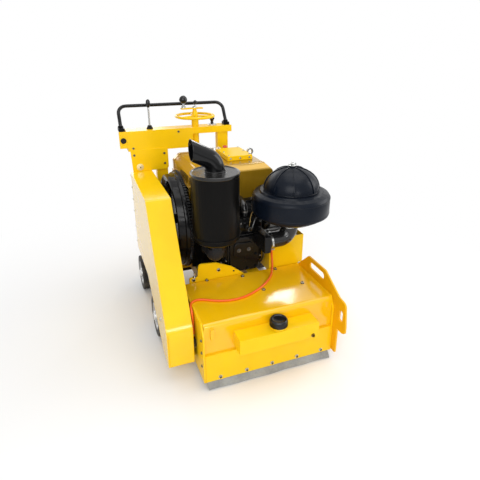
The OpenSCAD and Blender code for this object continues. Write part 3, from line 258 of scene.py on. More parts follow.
class FinishShop:
    """Builds the shared shader groups once, and one material for each finish."""

    # Values that all the finishes share: scales of the patterns, then sizes in metres.
    MOTTLE_SCALE = 14.0
    STREAK_STRETCH = 30.0
    # Width of the edge band that shows wear and painted highlights.
    RUB_AND_HIGHLIGHT_WIDTH = 0.0012
    DUST_HEIGHT = 0.30
    DUST_COLOUR = (0.42, 0.37, 0.30, 1.0)
    BUMP_DISTANCE = 0.0008
    COAT_ROUGHNESS = 0.12

    def __init__(self) -> None:
        """Builds the shader groups."""
        self.ready: Dict[str, bpy.types.Material] = {}
        self.mottle = self.group("Tone mottle", "Scale", 14.0, "Tone", self.draw_mottle)
        # The edge mask carries both wear and painted highlights along edges.
        self.edge = self.group("Rubbed and highlighted edges", "Width", 0.0015, "Mask", self.draw_rub_and_highlight)
        self.dust = self.group("Settled dust", "Height", 0.30, "Mask", self.draw_dust)
        self.grain = self.group("Skin grain", "Scale", 900.0, "Height", self.draw_grain)
        self.streaks = self.group("Brushed streaks", "Stretch", 40.0, "Streak", self.draw_streaks)

    def group(self, name: str, takes: str, default: float, gives: str,
              draw: Callable[[Wiring, Socket], Socket]) -> Tree:
        """Builds a shader group with one input and one output.

        Args:
            name: the group's name.
            takes: its input's name.
            default: its input's default value.
            gives: its output's name.
            draw: the method that wires its inside.

        Returns:
            The group.
        """
        w = Wiring.group(name, "ShaderNodeTree", {takes: ("NodeSocketFloat", default)},
                         {gives: "NodeSocketFloat"})
        take, give = w.add("NodeGroupInput"), w.add("NodeGroupOutput")
        w.feed(give.inputs[gives], draw(w, take.outputs[takes]))
        return w.tree

    def draw_mottle(self, w: Wiring, scale: Socket) -> Socket:
        """Draws slow changes of tone over a surface."""
        place = w.place()
        broad = w.out("ShaderNodeTexNoise", {"Vector": place, "Scale": scale, "Detail": 4.0})
        fine = w.out("ShaderNodeTexNoise", {"Vector": place, "Detail": 3.0,
                                            "Scale": w.math("MULTIPLY", scale, 9.0)})
        return w.math("ADD", w.math("MULTIPLY", broad, 0.7), w.math("MULTIPLY", fine, 0.3))

    def draw_rub_and_highlight(self, w: Wiring, width: Socket) -> Socket:
        """Draws the mask of worn edges, which also carries painted highlights along edges."""
        rounded_normal = w.out("ShaderNodeBevel", {"Radius": width}, samples=4)
        true_normal = w.add("ShaderNodeNewGeometry").outputs["Normal"]
        turn = w.add("ShaderNodeVectorMath", {0: rounded_normal, 1: true_normal}, operation="DOT_PRODUCT")
        patch = w.out("ShaderNodeTexNoise", {"Vector": w.place(), "Scale": 70.0, "Detail": 4.0})
        edge = w.ramp(w.math("SUBTRACT", 1.0, turn.outputs["Value"]), 0.01, 0.16)
        return w.math("MULTIPLY", edge, w.ramp(patch, 0.38, 0.62))

    def draw_dust(self, w: Wiring, height: Socket) -> Socket:
        """Draws the mask of dust that settles on upward faces and near the ground."""
        place = w.place()
        level = w.add("ShaderNodeSeparateXYZ", {0: place}).outputs["Z"]
        normal = w.add("ShaderNodeNewGeometry").outputs["Normal"]
        up = w.add("ShaderNodeSeparateXYZ", {0: normal}).outputs["Z"]
        patch = w.out("ShaderNodeTexNoise", {"Vector": place, "Scale": 22.0, "Detail": 6.0,
                                             "Roughness": 0.65})
        low = w.math("SUBTRACT", 1.0, w.ramp(w.math("DIVIDE", level, height), 0.0, 1.0))
        settled = w.math("ADD", w.math("MULTIPLY", w.ramp(up, 0.4, 1.0), 0.5), w.math("MULTIPLY", low, 0.8),
                         clamp=True)
        return w.math("MULTIPLY", settled, w.ramp(patch, 0.35, 0.7))

    def draw_grain(self, w: Wiring, scale: Socket) -> Socket:
        """Draws the fine relief of sprayed, cast or moulded skins."""
        place = w.place()
        peel = w.out("ShaderNodeTexNoise", {"Vector": place, "Scale": scale, "Detail": 2.0})
        pores = w.out("ShaderNodeTexVoronoi", {"Vector": place, "Scale": w.math("MULTIPLY", scale, 0.6)},
                      feature="SMOOTH_F1")
        return w.math("ADD", w.math("MULTIPLY", peel, 0.7), w.math("MULTIPLY", pores, 0.3))

    def draw_streaks(self, w: Wiring, stretch: Socket) -> Socket:
        """Draws the streaks of turned or brushed metal."""
        place = w.add("ShaderNodeSeparateXYZ", {0: w.place()}).outputs
        squeezed = w.out("ShaderNodeCombineXYZ", {0: w.math("MULTIPLY", place["X"], stretch), 1: place["Y"],
                                                  2: place["Z"]})
        return w.out("ShaderNodeTexNoise", {"Vector": squeezed, "Scale": 60.0, "Detail": 3.0})

    def material(self, finish: Finish) -> bpy.types.Material:
        """Gives the material of a finish, made on first use.

        Args:
            finish: the finish wanted.

        Returns:
            Its material.
        """
        if finish.name in self.ready:
            return self.ready[finish.name]
        material = bpy.data.materials.new(finish.name)
        material.use_nodes = True
        w = Wiring(material.node_tree)
        shader = material.node_tree.nodes["Principled BSDF"]
        tone = self.use(w, self.mottle, Scale=self.MOTTLE_SCALE)
        colour = (*finish.colour, 1.0)
        dark = (*(c * (1.0 - finish.mottle * 2.2) for c in finish.colour), 1.0)
        light = (*(min(1.0, c * (1.0 + finish.mottle)) for c in finish.colour), 1.0)
        base = w.mix(w.ramp(tone, 0.25, 0.75), dark, light)
        rough = w.math("ADD", finish.roughness - 0.05, w.math("MULTIPLY", tone, 0.1))
        if finish.surface is Surface.STEEL:
            streak = self.use(w, self.streaks, Stretch=self.STREAK_STRETCH)
            rough = w.math("ADD", rough, w.math("MULTIPLY", w.math("SUBTRACT", streak, 0.5), 0.25))
        # Edges take their own colour: partly wear, partly a painted highlight.
        if finish.rub > 0.0:
            edge = w.math("MULTIPLY", self.use(w, self.edge, Width=self.RUB_AND_HIGHLIGHT_WIDTH), finish.rub)
            base = w.mix(edge, base, (*finish.rub_and_highlight_colour, 1.0))
        if finish.dust > 0.0:
            dust = w.math("MULTIPLY", self.use(w, self.dust, Height=self.DUST_HEIGHT), finish.dust)
            base = w.mix(dust, base, self.DUST_COLOUR)
            rough = w.math("ADD", rough, w.math("MULTIPLY", dust, 0.5), clamp=True)
        bump = w.out("ShaderNodeBump", {"Strength": min(1.0, finish.grain_depth),
                                        "Distance": self.BUMP_DISTANCE,
                                        "Height": self.use(w, self.grain, Scale=finish.grain_scale)})
        for label, value in (("Base Color", base), ("Roughness", rough), ("Normal", bump),
                             ("Metallic", finish.metallic), ("Specular IOR Level", finish.specular),
                             ("Coat Weight", finish.coat), ("Coat Roughness", self.COAT_ROUGHNESS)):
            w.feed(shader.inputs[label], value)
        material.diffuse_color = colour
        self.ready[finish.name] = material
        return material

    def use(self, w: Wiring, group: Tree, **values: float) -> Socket:
        """Places a shader group with its own values and returns its first output."""
        return w.out("ShaderNodeGroup", values, node_tree=group)


class PatternShop:
    """Builds the geometry node trees that make what repeats or follows a path."""

    def __init__(self) -> None:
        """Builds the trees."""
        self.fasteners = self.make_fasteners()
        self.tube = self.make_tube()
        self.weld = self.make_weld()
        self.ring = self.make_ring()
        self.row = self.make_row()

    def start(self, name: str, takes: Sockets) -> Tuple[Wiring, bpy.types.NodeOutputs]:
        """Starts a tree that takes a mesh, its own inputs and a material.

        Args:
            name: the tree's name.
            takes: socket type and default value for each of its own inputs.

        Returns:
            The wiring and the sockets that bring the inputs.
        """
        sockets = {"Geometry": ("NodeSocketGeometry", None), **takes,
                   "Material": ("NodeSocketMaterial", None)}
        w = Wiring.group(name, "GeometryNodeTree", sockets, {"Geometry": "NodeSocketGeometry"})
        return w, w.add("NodeGroupInput").outputs

    def end(self, w: Wiring, material: Socket, shape: Socket, smooth: bool) -> Tree:
        """Realizes the instances, shades them, sets the material and returns the tree."""
        real = w.out("GeometryNodeRealizeInstances", {"Geometry": shape})
        shaded_shape = w.out("GeometryNodeSetShadeSmooth", {"Geometry": real, "Shade Smooth": smooth})
        done = w.out("GeometryNodeSetMaterial", {"Geometry": shaded_shape, "Material": material})
        w.add("NodeGroupOutput", {"Geometry": done})
        return w.tree

    def moved(self, w: Wiring, shape: Socket, lift: Socket, **others: object) -> Socket:
        """Lifts a shape along z, with other inputs of the Transform node, and returns it."""
        up = w.out("ShaderNodeCombineXYZ", {"Z": lift})
        return w.out("GeometryNodeTransform", {"Geometry": shape, "Translation": up, **others})

    def make_fasteners(self) -> Tree:
        """Builds the tree that seats a bolt with its washer on each point, along the point's facing."""
        w, take = self.start("Fasteners on points", {
            "Head Radius": ("NodeSocketFloat", 0.006), "Head Height": ("NodeSocketFloat", 0.004),
            "Washer Radius": ("NodeSocketFloat", 0.009), "Washer Height": ("NodeSocketFloat", 0.0015),
            "Sides": ("NodeSocketInt", 6), "Dome": ("NodeSocketFloat", 0.0)})
        radius, thick = take["Head Radius"], take["Washer Height"]
        washer = w.out("GeometryNodeMeshCylinder", {"Vertices": 24, "Radius": take["Washer Radius"],
                                                    "Depth": thick})
        washer = self.moved(w, washer, w.math("MULTIPLY", thick, 0.5))
        head = w.out("GeometryNodeMeshCone", {
            "Vertices": take["Sides"], "Radius Bottom": radius,
            "Radius Top": w.math("MULTIPLY", radius, 0.94), "Depth": take["Head Height"]})
        head = self.moved(w, head, thick)
        ball = w.out("GeometryNodeMeshUVSphere", {"Segments": 16, "Rings": 8,
                                                  "Radius": w.math("MULTIPLY", radius, 0.8)})
        flat = w.out("ShaderNodeCombineXYZ", {"X": 1.0, "Y": 1.0, "Z": take["Dome"]})
        ball = self.moved(w, ball, w.math("ADD", thick, take["Head Height"]), Scale=flat)
        bolt = w.add("GeometryNodeJoinGeometry")
        for part in (washer, head, ball):
            w.tree.links.new(part, bolt.inputs[0])
        facing = w.out("GeometryNodeInputNamedAttribute", {"Name": "facing"}, data_type="FLOAT_VECTOR")
        turn = w.out("FunctionNodeAlignRotationToVector", {"Vector": facing}, axis="Z")
        seated = w.out("GeometryNodeInstanceOnPoints", {"Points": take["Geometry"],
                                                        "Instance": bolt.outputs[0], "Rotation": turn})
        return self.end(w, take["Material"], seated, False)

    def make_tube(self) -> Tree:
        """Builds the tree that draws a round tube along a chain of points."""
        w, take = self.start("Tube along points", {
            "Radius": ("NodeSocketFloat", 0.004), "Sides": ("NodeSocketInt", 12),
            "Spacing": ("NodeSocketFloat", 0.006)})
        path = w.out("GeometryNodeMeshToCurve", {"Mesh": take["Geometry"]})
        path = w.out("GeometryNodeCurveSplineType", {"Curve": path}, spline_type="CATMULL_ROM")
        path = w.out("GeometryNodeResampleCurve", {"Curve": path, "Length": take["Spacing"]}, mode="LENGTH")
        profile = w.out("GeometryNodeCurvePrimitiveCircle", {"Resolution": take["Sides"],
                                                             "Radius": take["Radius"]})
        tube = w.out("GeometryNodeCurveToMesh", {"Curve": path, "Profile Curve": profile, "Fill Caps": True})
        return self.end(w, take["Material"], tube, True)

    def make_weld(self) -> Tree:
        """Builds the tree that lays the scales of a weld bead along a chain of points."""
        w, take = self.start("Weld bead along points", {
            "Bead": ("NodeSocketFloat", 0.003), "Pitch": ("NodeSocketFloat", 0.0024),
            "Seed": ("NodeSocketInt", 7)})
        path = w.out("GeometryNodeMeshToCurve", {"Mesh": take["Geometry"]})
        spots = w.add("GeometryNodeCurveToPoints", {"Curve": path, "Length": take["Pitch"]}, mode="LENGTH")
        scale = w.out("GeometryNodeMeshIcoSphere", {"Radius": take["Bead"], "Subdivisions": 2})
        vary = w.add("FunctionNodeRandomValue", {2: 0.85, 3: 1.15, "Seed": take["Seed"]}, data_type="FLOAT")
        flat = w.out("ShaderNodeVectorMath", {0: (1.0, 1.0, 0.55), "Scale": vary.outputs[1]},
                     operation="SCALE")
        bead = w.out("GeometryNodeInstanceOnPoints", {
            "Points": spots.outputs["Points"], "Instance": scale, "Rotation": spots.outputs["Rotation"],
            "Scale": flat})
        return self.end(w, take["Material"], bead, True)

    def make_ring(self) -> Tree:
        """Builds the tree that repeats a part round an axis."""
        w, take = self.start("Part round an axis", {
            "Count": ("NodeSocketInt", 8), "Axis": ("NodeSocketVector", UP),
            "Centre": ("NodeSocketVector", (0.0, 0.0, 0.0)), "Start": ("NodeSocketFloat", 0.0)})
        spots = w.out("GeometryNodeMeshCircle", {"Vertices": take["Count"], "Radius": 0.0})
        step = w.math("DIVIDE", math.tau, take["Count"])
        index = w.out("GeometryNodeInputIndex")
        angle = w.math("ADD", w.math("MULTIPLY", index, step), take["Start"])
        turn = w.out("FunctionNodeAxisAngleToRotation", {"Axis": take["Axis"], "Angle": angle})
        parts = w.out("GeometryNodeInstanceOnPoints", {"Points": spots, "Instance": take["Geometry"],
                                                       "Rotation": turn})
        placed_parts = w.out("GeometryNodeTransform", {"Geometry": parts, "Translation": take["Centre"]})
        return self.end(w, take["Material"], placed_parts, False)

    def make_row(self) -> Tree:
        """Builds the tree that repeats a part along a straight row."""
        w, take = self.start("Part along a row", {
            "Count": ("NodeSocketInt", 4), "Step": ("NodeSocketVector", (0.01, 0.0, 0.0))})
        spots = w.out("GeometryNodeMeshLine", {"Count": take["Count"], "Offset": take["Step"]})
        parts = w.out("GeometryNodeInstanceOnPoints", {"Points": spots, "Instance": take["Geometry"]})
        return self.end(w, take["Material"], parts, False)


@dataclass
class Datum:
    """The drawing's zero point in the frame, in metres."""

    x: float
    y: float

    @classmethod
    def measured(cls) -> "Datum":
        """Finds the zero point from the drum housing's side plates."""
        left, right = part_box("housing_left_plate"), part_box("housing_right_plate")
        return cls((left[0].x + right[1].x) / 2, left[0].y - HOUSING_FRONT_Y * MM)

    def at(self, x: float, y: float, z: float) -> Vector:
        """Turns a drawing position in millimetres into the frame's metres."""
        return Vector((self.x + x * MM, self.y + y * MM, z * MM))


class Workshop:
    """Makes pieces, dresses them and puts them on their bodies."""

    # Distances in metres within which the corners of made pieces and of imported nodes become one.
    MERGE_DISTANCE = 2e-6
    NODE_MERGE_DISTANCE = 1e-5
    # Angle in degrees under which neighbouring faces of a node count as flat.
    FLAT_ANGLE = 0.5
    BEVEL_SEGMENTS = 2
    # Height of a washer in millimetres, and the step between a weld's scales over the bead's radius.
    WASHER_HEIGHT = 1.6
    WELD_PITCH = 0.8

    def __init__(self) -> None:
        """Sets up the shops that the pieces need."""
        self.finishes = FinishShop()
        self.patterns = PatternShop()
        self.datum = Datum.measured()
        bodies = FRAME["record"]["behaviour"]["bodies"]
        self.body_of = {node: body for body, nodes in bodies.items() for node in nodes}

    def at(self, x: float, y: float, z: float) -> Vector:
        """Turns a drawing position in millimetres into the frame's metres."""
        return self.datum.at(x, y, z)

    def drawn(self, spot: Vector) -> Vector:
        """Turns a place in the frame's metres into its drawing position in millimetres."""
        return Vector((spot.x - self.datum.x, spot.y - self.datum.y, spot.z)) / MM

    def finish_piece(self, name: str, mesh: Mesh, finish: Finish, body: str,
                     stands_for: Sequence[str] = ()) -> None:
        """Turns a mesh into a piece of the machine.

        Args:
            name: the piece's name.
            mesh: its mesh, in the frame.
            finish: its finish, for a mesh that has no material yet.
            body: the body it rides on.
            stands_for: the nodes that it replaces.
        """
        piece = placed(name, mesh)
        if not [m for m in mesh.materials if m]:
            mesh.materials.clear()
            mesh.materials.append(self.finishes.material(finish))
        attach(piece, body)
        if stands_for:
            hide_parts(*stands_for)
        log.info("%s: %d faces on %s", name, len(mesh.polygons), body)

    def from_bmesh(self, name: str, bm: BMesh, finish: Finish, body: str = "chassis",
                   stands_for: Sequence[str] = (), sharp: float = SHARP) -> None:
        """Turns a bmesh into a piece, with its normals recalculated and its sharp edges marked.

        Args:
            name: the piece's name.
            bm: its bmesh, which is freed.
            finish: its finish.
            body: the body it rides on.
            stands_for: the nodes that it replaces.
            sharp: angle in degrees from which an edge stays sharp.
        """
        bmesh.ops.remove_doubles(bm, verts=bm.verts, dist=self.MERGE_DISTANCE)
        bmesh.ops.recalc_face_normals(bm, faces=bm.faces)
        self.finish_piece(name, shaded(name, bm, sharp), finish, body, stands_for)

    def soften(self, node: str, finish: Finish, edge: float = 1.0, sharp: float = 30.0,
               others: Sequence[Tuple[Finish, FaceTest]] = (),
               without: Optional[FaceTest] = None) -> None:
        """Replaces a node by a copy of its own shape with rounded edges.

        Args:
            node: the node's name.
            finish: the copy's finish.
            edge: width of the rounded edges in millimetres.
            sharp: angle in degrees from which an edge is rounded.
            others: other finishes, each with the test for a face's middle and normal that takes it.
            without: the test for faces that are left out, because another piece stands there.
        """
        bm = bmesh.new()
        bm.from_mesh(FRAME["nodes"][node].data)
        bmesh.ops.remove_doubles(bm, verts=bm.verts, dist=self.NODE_MERGE_DISTANCE)
        bmesh.ops.dissolve_limit(bm, angle_limit=math.radians(self.FLAT_ANGLE), verts=bm.verts,
                                 edges=bm.edges, delimit={"NORMAL"})
        if without:
            spare = [face for face in bm.faces
                     if without(self.drawn(face.calc_center_median()), face.normal)]
            bmesh.ops.delete(bm, geom=spare, context="FACES")
        mesh = shaded(node + "_dressed", bm, sharp)
        mesh.materials.clear()
        mesh.materials.append(self.finishes.material(finish))
        if edge > 0.0:
            mesh = self.bevelled(mesh, edge * MM, sharp)
        for number, (other, takes) in enumerate(others, start=1):
            mesh.materials.append(self.finishes.material(other))
            for face in mesh.polygons:
                if takes(self.drawn(face.center), face.normal):
                    face.material_index = number
        self.finish_piece(node + "_dressed", mesh, finish, self.body_of[node], [node])

    def dress(self, finish: Finish, **edges: float) -> None:
        """Softens nodes in one finish, each named with the width of its rounded edges in millimetres."""
        for node, edge in edges.items():
            self.soften(node, finish, edge)

    def bevelled(self, mesh: Mesh, width: float, sharp: float) -> Mesh:
        """Rounds a mesh's sharp edges.

        Args:
            mesh: the mesh.
            width: width of the rounding in metres.
            sharp: angle in degrees from which an edge is rounded.

        Returns:
            The new mesh.
        """
        holder = placed("bevel_holder", mesh)
        modifier = holder.modifiers.new("edges", "BEVEL")
        modifier.width = width
        modifier.segments = self.BEVEL_SEGMENTS
        modifier.limit_method = "ANGLE"
        modifier.angle_limit = math.radians(sharp)
        modifier.harden_normals = True
        modifier.use_clamp_overlap = True
        return self.baked(holder)

    def baked(self, holder: Piece) -> Mesh:
        """Turns an object's evaluated shape into a plain mesh and removes the object."""
        bpy.context.view_layer.update()
        graph = bpy.context.evaluated_depsgraph_get()
        mesh = bpy.data.meshes.new_from_object(holder.evaluated_get(graph))
        bpy.data.objects.remove(holder)
        return mesh

    def grow(self, name: str, seed: Mesh, tree: Tree, finish: Finish, body: str,
             inputs: Dict[str, object]) -> None:
        """Runs a pattern on a seed mesh and keeps its result as a piece.

        Args:
            name: the piece's name.
            seed: the mesh that the pattern starts from.
            tree: the pattern's node tree.
            finish: the piece's finish.
            body: the body it rides on.
            inputs: values for the tree's named inputs.
        """
        holder = placed(name + "_seed", seed)
        modifier = holder.modifiers.new("pattern", "NODES")
        modifier.node_group = tree
        values = {**inputs, "Material": self.finishes.material(finish)}
        for item in tree.interface.items_tree:
            if item.item_type == "SOCKET" and item.in_out == "INPUT" and item.name in values:
                modifier[item.identifier] = values[item.name]
        self.finish_piece(name, self.baked(holder), finish, body)

    def chain(self, points: Sequence[Point], closed: bool = False) -> Mesh:
        """Makes a mesh of points joined in a line.

        Args:
            points: drawing positions in millimetres.
            closed: whether the last point joins the first.

        Returns:
            The seed mesh.
        """
        mesh = bpy.data.meshes.new("chain")
        count = len(points)
        edges = [(i, (i + 1) % count) for i in range(count if closed else count - 1)]
        mesh.from_pydata([self.at(*p) for p in points], edges, [])
        return mesh

    def tube(self, name: str, points: Sequence[Point], radius: float, finish: Finish, closed: bool = False,
             sides: int = 12, spacing: float = 6.0) -> None:
        """Draws a round tube through drawing positions, with a radius in millimetres."""
        self.grow(name, self.chain(points, closed), self.patterns.tube, finish, "chassis",
                  {"Radius": radius * MM, "Sides": sides, "Spacing": spacing * MM})

    def weld(self, name: str, points: Sequence[Point], bead: float, finish: Finish = WELD_YELLOW,
             closed: bool = False) -> None:
        """Lays a weld bead through drawing positions, with a bead radius in millimetres."""
        self.grow(name, self.chain(points, closed), self.patterns.weld, finish, "chassis",
                  {"Bead": bead * MM, "Pitch": bead * self.WELD_PITCH * MM})

    def bolts(self, name: str, points: Sequence[Point], facing: Point, finish: Finish, bolt: Bolt,
              body: str = "chassis") -> None:
        """Seats bolts with washers on a face.

        Args:
            name: the piece's name.
            points: drawing positions of the bolts, on the face.
            facing: direction that the heads point in.
            finish: the bolts' finish.
            bolt: the bolts' sizes.
            body: the body that they ride on.
        """
        mesh = bpy.data.meshes.new(name + "_points")
        mesh.from_pydata([self.at(*p) for p in points], [], [])
        stored = mesh.attributes.new("facing", "FLOAT_VECTOR", "POINT")
        for item in stored.data:
            item.vector = facing
        self.grow(name, mesh, self.patterns.fasteners, finish, body, {
            "Head Radius": bolt.head * MM, "Head Height": bolt.height * MM,
            "Washer Radius": bolt.washer * MM, "Washer Height": self.WASHER_HEIGHT * MM,
            "Sides": bolt.sides, "Dome": bolt.dome})

    def around(self, name: str, part: BMesh, count: int, axis: Point, centre: Point,
               finish: Finish) -> None:
        """Repeats a part, made about the origin in metres, round an axis through a drawing position."""
        self.grow(name, seed_mesh(name, part), self.patterns.ring, finish, "chassis", {
            "Count": count, "Axis": axis, "Centre": tuple(self.at(*centre)), "Start": 0.0})

    def row(self, name: str, part: BMesh, first: Point, count: int, step: Point, finish: Finish) -> None:
        """Repeats a part, made about the origin in metres, from a drawing position along a row."""
        part.transform(Matrix.Translation(self.at(*first)))
        self.grow(name, seed_mesh(name, part), self.patterns.row, finish, "chassis", {
            "Count": count, "Step": tuple(value * MM for value in step)})

    def lathe(self, name: str, profile: Profile, centre: Point, axis: Point, finish: Finish,
              steps: int = 64, body: str = "chassis", stands_for: Sequence[str] = (),
              sharp: float = SHARP) -> None:
        """Turns a profile round an axis.

        Args:
            name: the piece's name.
            profile: rows of radius and height along the axis, in millimetres.
            centre: drawing position of the profile's zero.
            axis: direction of the axis.
            finish: the piece's finish.
            steps: number of faces round the axis.
            body: the body it rides on.
            stands_for: the nodes that it replaces.
            sharp: angle in degrees from which an edge stays sharp.
        """
        bm = turned(profile, steps)
        turn = Vector(axis).to_track_quat("Z", "Y").to_matrix().to_4x4()
        bm.transform(Matrix.Translation(self.at(*centre)) @ turn)
        self.from_bmesh(name, bm, finish, body, stands_for, sharp)

    def prism(self, name: str, outline: Profile, axis: str, low: float, high: float, finish: Finish,
              edge: float = 0.8) -> None:
        """Draws an outline out between two heights along an axis, with rounded edges.

        Args:
            name: the piece's name.
            outline: rows of the two other drawing coordinates, in the order x, y, z.
            axis: "x", "y" or "z".
            low: where it starts.
            high: where it ends.
            finish: the piece's finish.
            edge: width of the rounded edges in millimetres.
        """
        spot = "xyz".index(axis)
        bm = bmesh.new()
        ends = []
        for level in (low, high):
            rows = [list(p) for p in outline]
            for row in rows:
                row.insert(spot, level)
            ends.append([bm.verts.new(self.at(*row)) for row in rows])
        count = len(outline)
        bm.faces.new(ends[0])
        bm.faces.new(ends[1])
        for i in range(count):
            j = (i + 1) % count
            bm.faces.new((ends[0][i], ends[0][j], ends[1][j], ends[1][i]))
        bmesh.ops.recalc_face_normals(bm, faces=bm.faces)
        mesh = shaded(name, bm, SHARP)
        mesh.materials.append(self.finishes.material(finish))
        if edge > 0.0:
            mesh = self.bevelled(mesh, edge * MM, SHARP)
        self.finish_piece(name, mesh, finish, "chassis")

    def clamp(self, name: str, centre: Point, axis: Point, radius: float, side: Point,
              width: float = 9.0) -> None:
        """Puts a hose clamp round a pipe.

        Args:
            name: the clamp's name.
            centre: drawing position of its middle.
            axis: direction of the pipe.
            radius: radius of the pipe in millimetres.
            side: direction from the pipe's middle to the worm screw.
            width: width of the band in millimetres.
        """
        inner, outer, half = radius - 1, radius + 1.3, width / 2
        self.lathe(name + "_band", [
            (inner, -half), (outer, -half), (outer, half), (inner, half)], centre, axis, ZINC, 48)
        spot = Vector(centre) + Vector(side) * (radius + 4.0)
        self.lathe(name + "_screw", [(0, -10), (3.4, -10), (3.4, 5), (4.6, 5), (4.6, 10), (0, 10)],
                   tuple(spot), tuple(Vector(axis).cross(Vector(side))), ZINC, 12)

    def block(self, name: str, low: Point, high: Point, finish: Finish) -> None:
        """Makes a block with rounded edges between two drawing corners."""
        outline = [(low[0], low[1]), (high[0], low[1]), (high[0], high[1]), (low[0], high[1])]
        self.prism(name, outline, "z", low[2], high[2], finish, 1.2)


def placed(name: str, data: bpy.types.ID) -> Piece:
    """Makes an object of some data and puts it in the scene."""
    made = bpy.data.objects.new(name, data)
    bpy.context.scene.collection.objects.link(made)
    return made


def shaded(name: str, bm: BMesh, sharp: float) -> Mesh:
    """Turns a bmesh, which is freed, into a smooth mesh with the edges above an angle marked sharp."""
    mesh = bpy.data.meshes.new(name)
    bm.to_mesh(mesh)
    bm.free()
    mesh.shade_smooth()
    mesh.set_sharp_from_angle(angle=math.radians(sharp))
    return mesh


def seed_mesh(name: str, part: BMesh) -> Mesh:
    """Turns a bmesh, which is freed, into a pattern's seed with its normals recalculated."""
    seed = bpy.data.meshes.new(name + "_part")
    bmesh.ops.recalc_face_normals(part, faces=part.faces)
    part.to_mesh(seed)
    part.free()
    return seed


def small_block(low: Point, high: Point) -> BMesh:
    """Makes a block between two corners in millimetres, about the origin, in metres."""
    bm = bmesh.new()
    bmesh.ops.create_cube(bm, size=1.0)
    size = Vector(high) - Vector(low)
    middle = (Vector(high) + Vector(low)) / 2
    bm.transform(Matrix.Translation(middle * MM) @ Matrix.Diagonal((*(size * MM), 1.0)))
    return bm


def turned(profile: Profile, steps: int) -> BMesh:
    """Turns a profile in millimetres round the z axis, closed to a ring where it starts off the axis.

    Args:
        profile: rows of radius and height.
        steps: number of faces round the axis.

    Returns:
        The bmesh, in metres.
    """
    bm = bmesh.new()
    rings = []
    for radius, level in profile:
        if radius < 1e-6:
            rings.append([bm.verts.new((0.0, 0.0, level * MM))])
        else:
            rings.append([bm.verts.new((radius * MM * math.cos(math.tau * k / steps),
                                        radius * MM * math.sin(math.tau * k / steps), level * MM))
                          for k in range(steps)])
    pairs = list(zip(rings, rings[1:])) + ([(rings[-1], rings[0])] if profile[0][0] > 0.0 else [])
    for low, high in pairs:
        for k in range(steps):
            m = (k + 1) % steps
            corners = {(low[k % len(low)]): None, (low[m % len(low)]): None,
                       (high[m % len(high)]): None, (high[k % len(high)]): None}
            if len(corners) > 2:
                bm.faces.new(list(corners))
    return bm


def rounded(corners: Sequence[Point], steps: int = 6) -> List[Spot]:
    """Rounds the corners of an outline.

    Args:
        corners: rows of the two coordinates and the corner's radius.
        steps: number of faces round a corner.

    Returns:
        The outline's points.
    """
    points: List[Spot] = []
    count = len(corners)
    for i, (x, y, radius) in enumerate(corners):
        here = Vector((x, y))
        before = (Vector(corners[i - 1][:2]) - here).normalized()
        after = (Vector(corners[(i + 1) % count][:2]) - here).normalized()
        half = before.angle(after) / 2
        centre = here + (before + after).normalized() * radius / math.sin(half)
        first = here + before * radius / math.tan(half) - centre
        last = here + after * radius / math.tan(half) - centre
        for k in range(steps + 1):
            spoke = first.lerp(last, k / steps).normalized() * radius
            points.append(tuple(centre + spoke))
    return points


def rounded_box(low: Spot, high: Spot, *radii: float) -> List[Spot]:
    """Gives a rectangle's outline with rounded corners.

    Args:
        low: its first corner.
        high: the corner opposite.
        radii: the radius of its lower and of its upper corners, or one radius for all.

    Returns:
        The outline's points.
    """
    under, over = radii[0], radii[-1]
    return rounded([(*low, under), (high[0], low[1], under), (*high, over), (low[0], high[1], over)])


def circle(count: int, radius: float, middle: Spot = (0.0, 0.0), start: float = 0.0) -> List[Spot]:
    """Gives places round a circle.

    Args:
        count: number of places.
        radius: the circle's radius.
        middle: its middle.
        start: angle of the first place in radians.

    Returns:
        The two coordinates of each place.
    """
    angles = [math.tau * k / count + start for k in range(count)]
    return [(middle[0] + radius * math.cos(a), middle[1] + radius * math.sin(a)) for a in angles]


def spaced(points: Sequence[Point], step: float) -> List[Point]:
    """Adds points to a chain, so that neighbours lie about a step apart.

    Args:
        points: the chain's points.
        step: the distance wanted between neighbours.

    Returns:
        The chain with its added points.
    """
    chain = [tuple(points[0])]
    for a, b in zip(points, points[1:]):
        first, last = Vector(a), Vector(b)
        count = max(1, round((last - first).length / step))
        chain += [tuple(first.lerp(last, k / count)) for k in range(1, count + 1)]
    return chain


@dataclass
class Camera:
    """The camera at the photograph's viewing angle, placed in drawing millimetres."""

    place: Point = (-639.0, -1322.0, 1321.0)
    azimuth: float = -20.7
    down: float = 21.5
    lens: float = 31.35
    sensor: float = 36.0
    shift: float = -0.0552

    def build(self) -> None:
        """Makes the camera and puts it in the scene."""
        data = bpy.data.cameras.new("camera")
        data.lens = self.lens
        data.sensor_width = self.sensor
        data.shift_y = self.shift
        camera = placed("camera", data)
        camera.location = Datum.measured().at(*self.place)
        camera.rotation_euler = (math.radians(90.0 - self.down), 0.0, math.radians(self.azimuth))
        bpy.context.scene.camera = camera


@dataclass(frozen=True)
class Lamp:
    """A soft square lamp with its place, the point it looks at, its side in metres and its watts."""

    name: str
    place: Point
    aim: Point
    size: float
    power: float

    def hang(self) -> None:
        """Hangs the lamp in the scene."""
        data = bpy.data.lights.new(self.name, "AREA")
        data.size = self.size
        data.energy = self.power
        lamp = placed(self.name, data)
        lamp.location = self.place
        lamp.rotation_euler = (Vector(self.aim) - Vector(self.place)).to_track_quat("-Z", "Y").to_euler()


LAMPS = (
    Lamp("key", (-1.4, -3.0, 2.2), (0.0, 0.0, 0.45), 2.2, 62.0),
    Lamp("top", (0.5, -0.3, 3.4), (0.0, 0.0, 0.5), 2.6, 40.0),
    Lamp("side", (3.0, -0.6, 1.8), (0.0, 0.0, 0.5), 1.8, 30.0),
    Lamp("window", (1.35, 2.05, 1.95), (0.15, -0.3, 0.31), 0.32, 4.5),
    Lamp("door", (0.12, -3.25, 0.9), (-0.33, -0.36, 0.25), 0.5, 9.0),
    Lamp("back", (-0.6, 3.2, 2.0), (0.0, 0.0, 0.5), 2.0, 30.0))


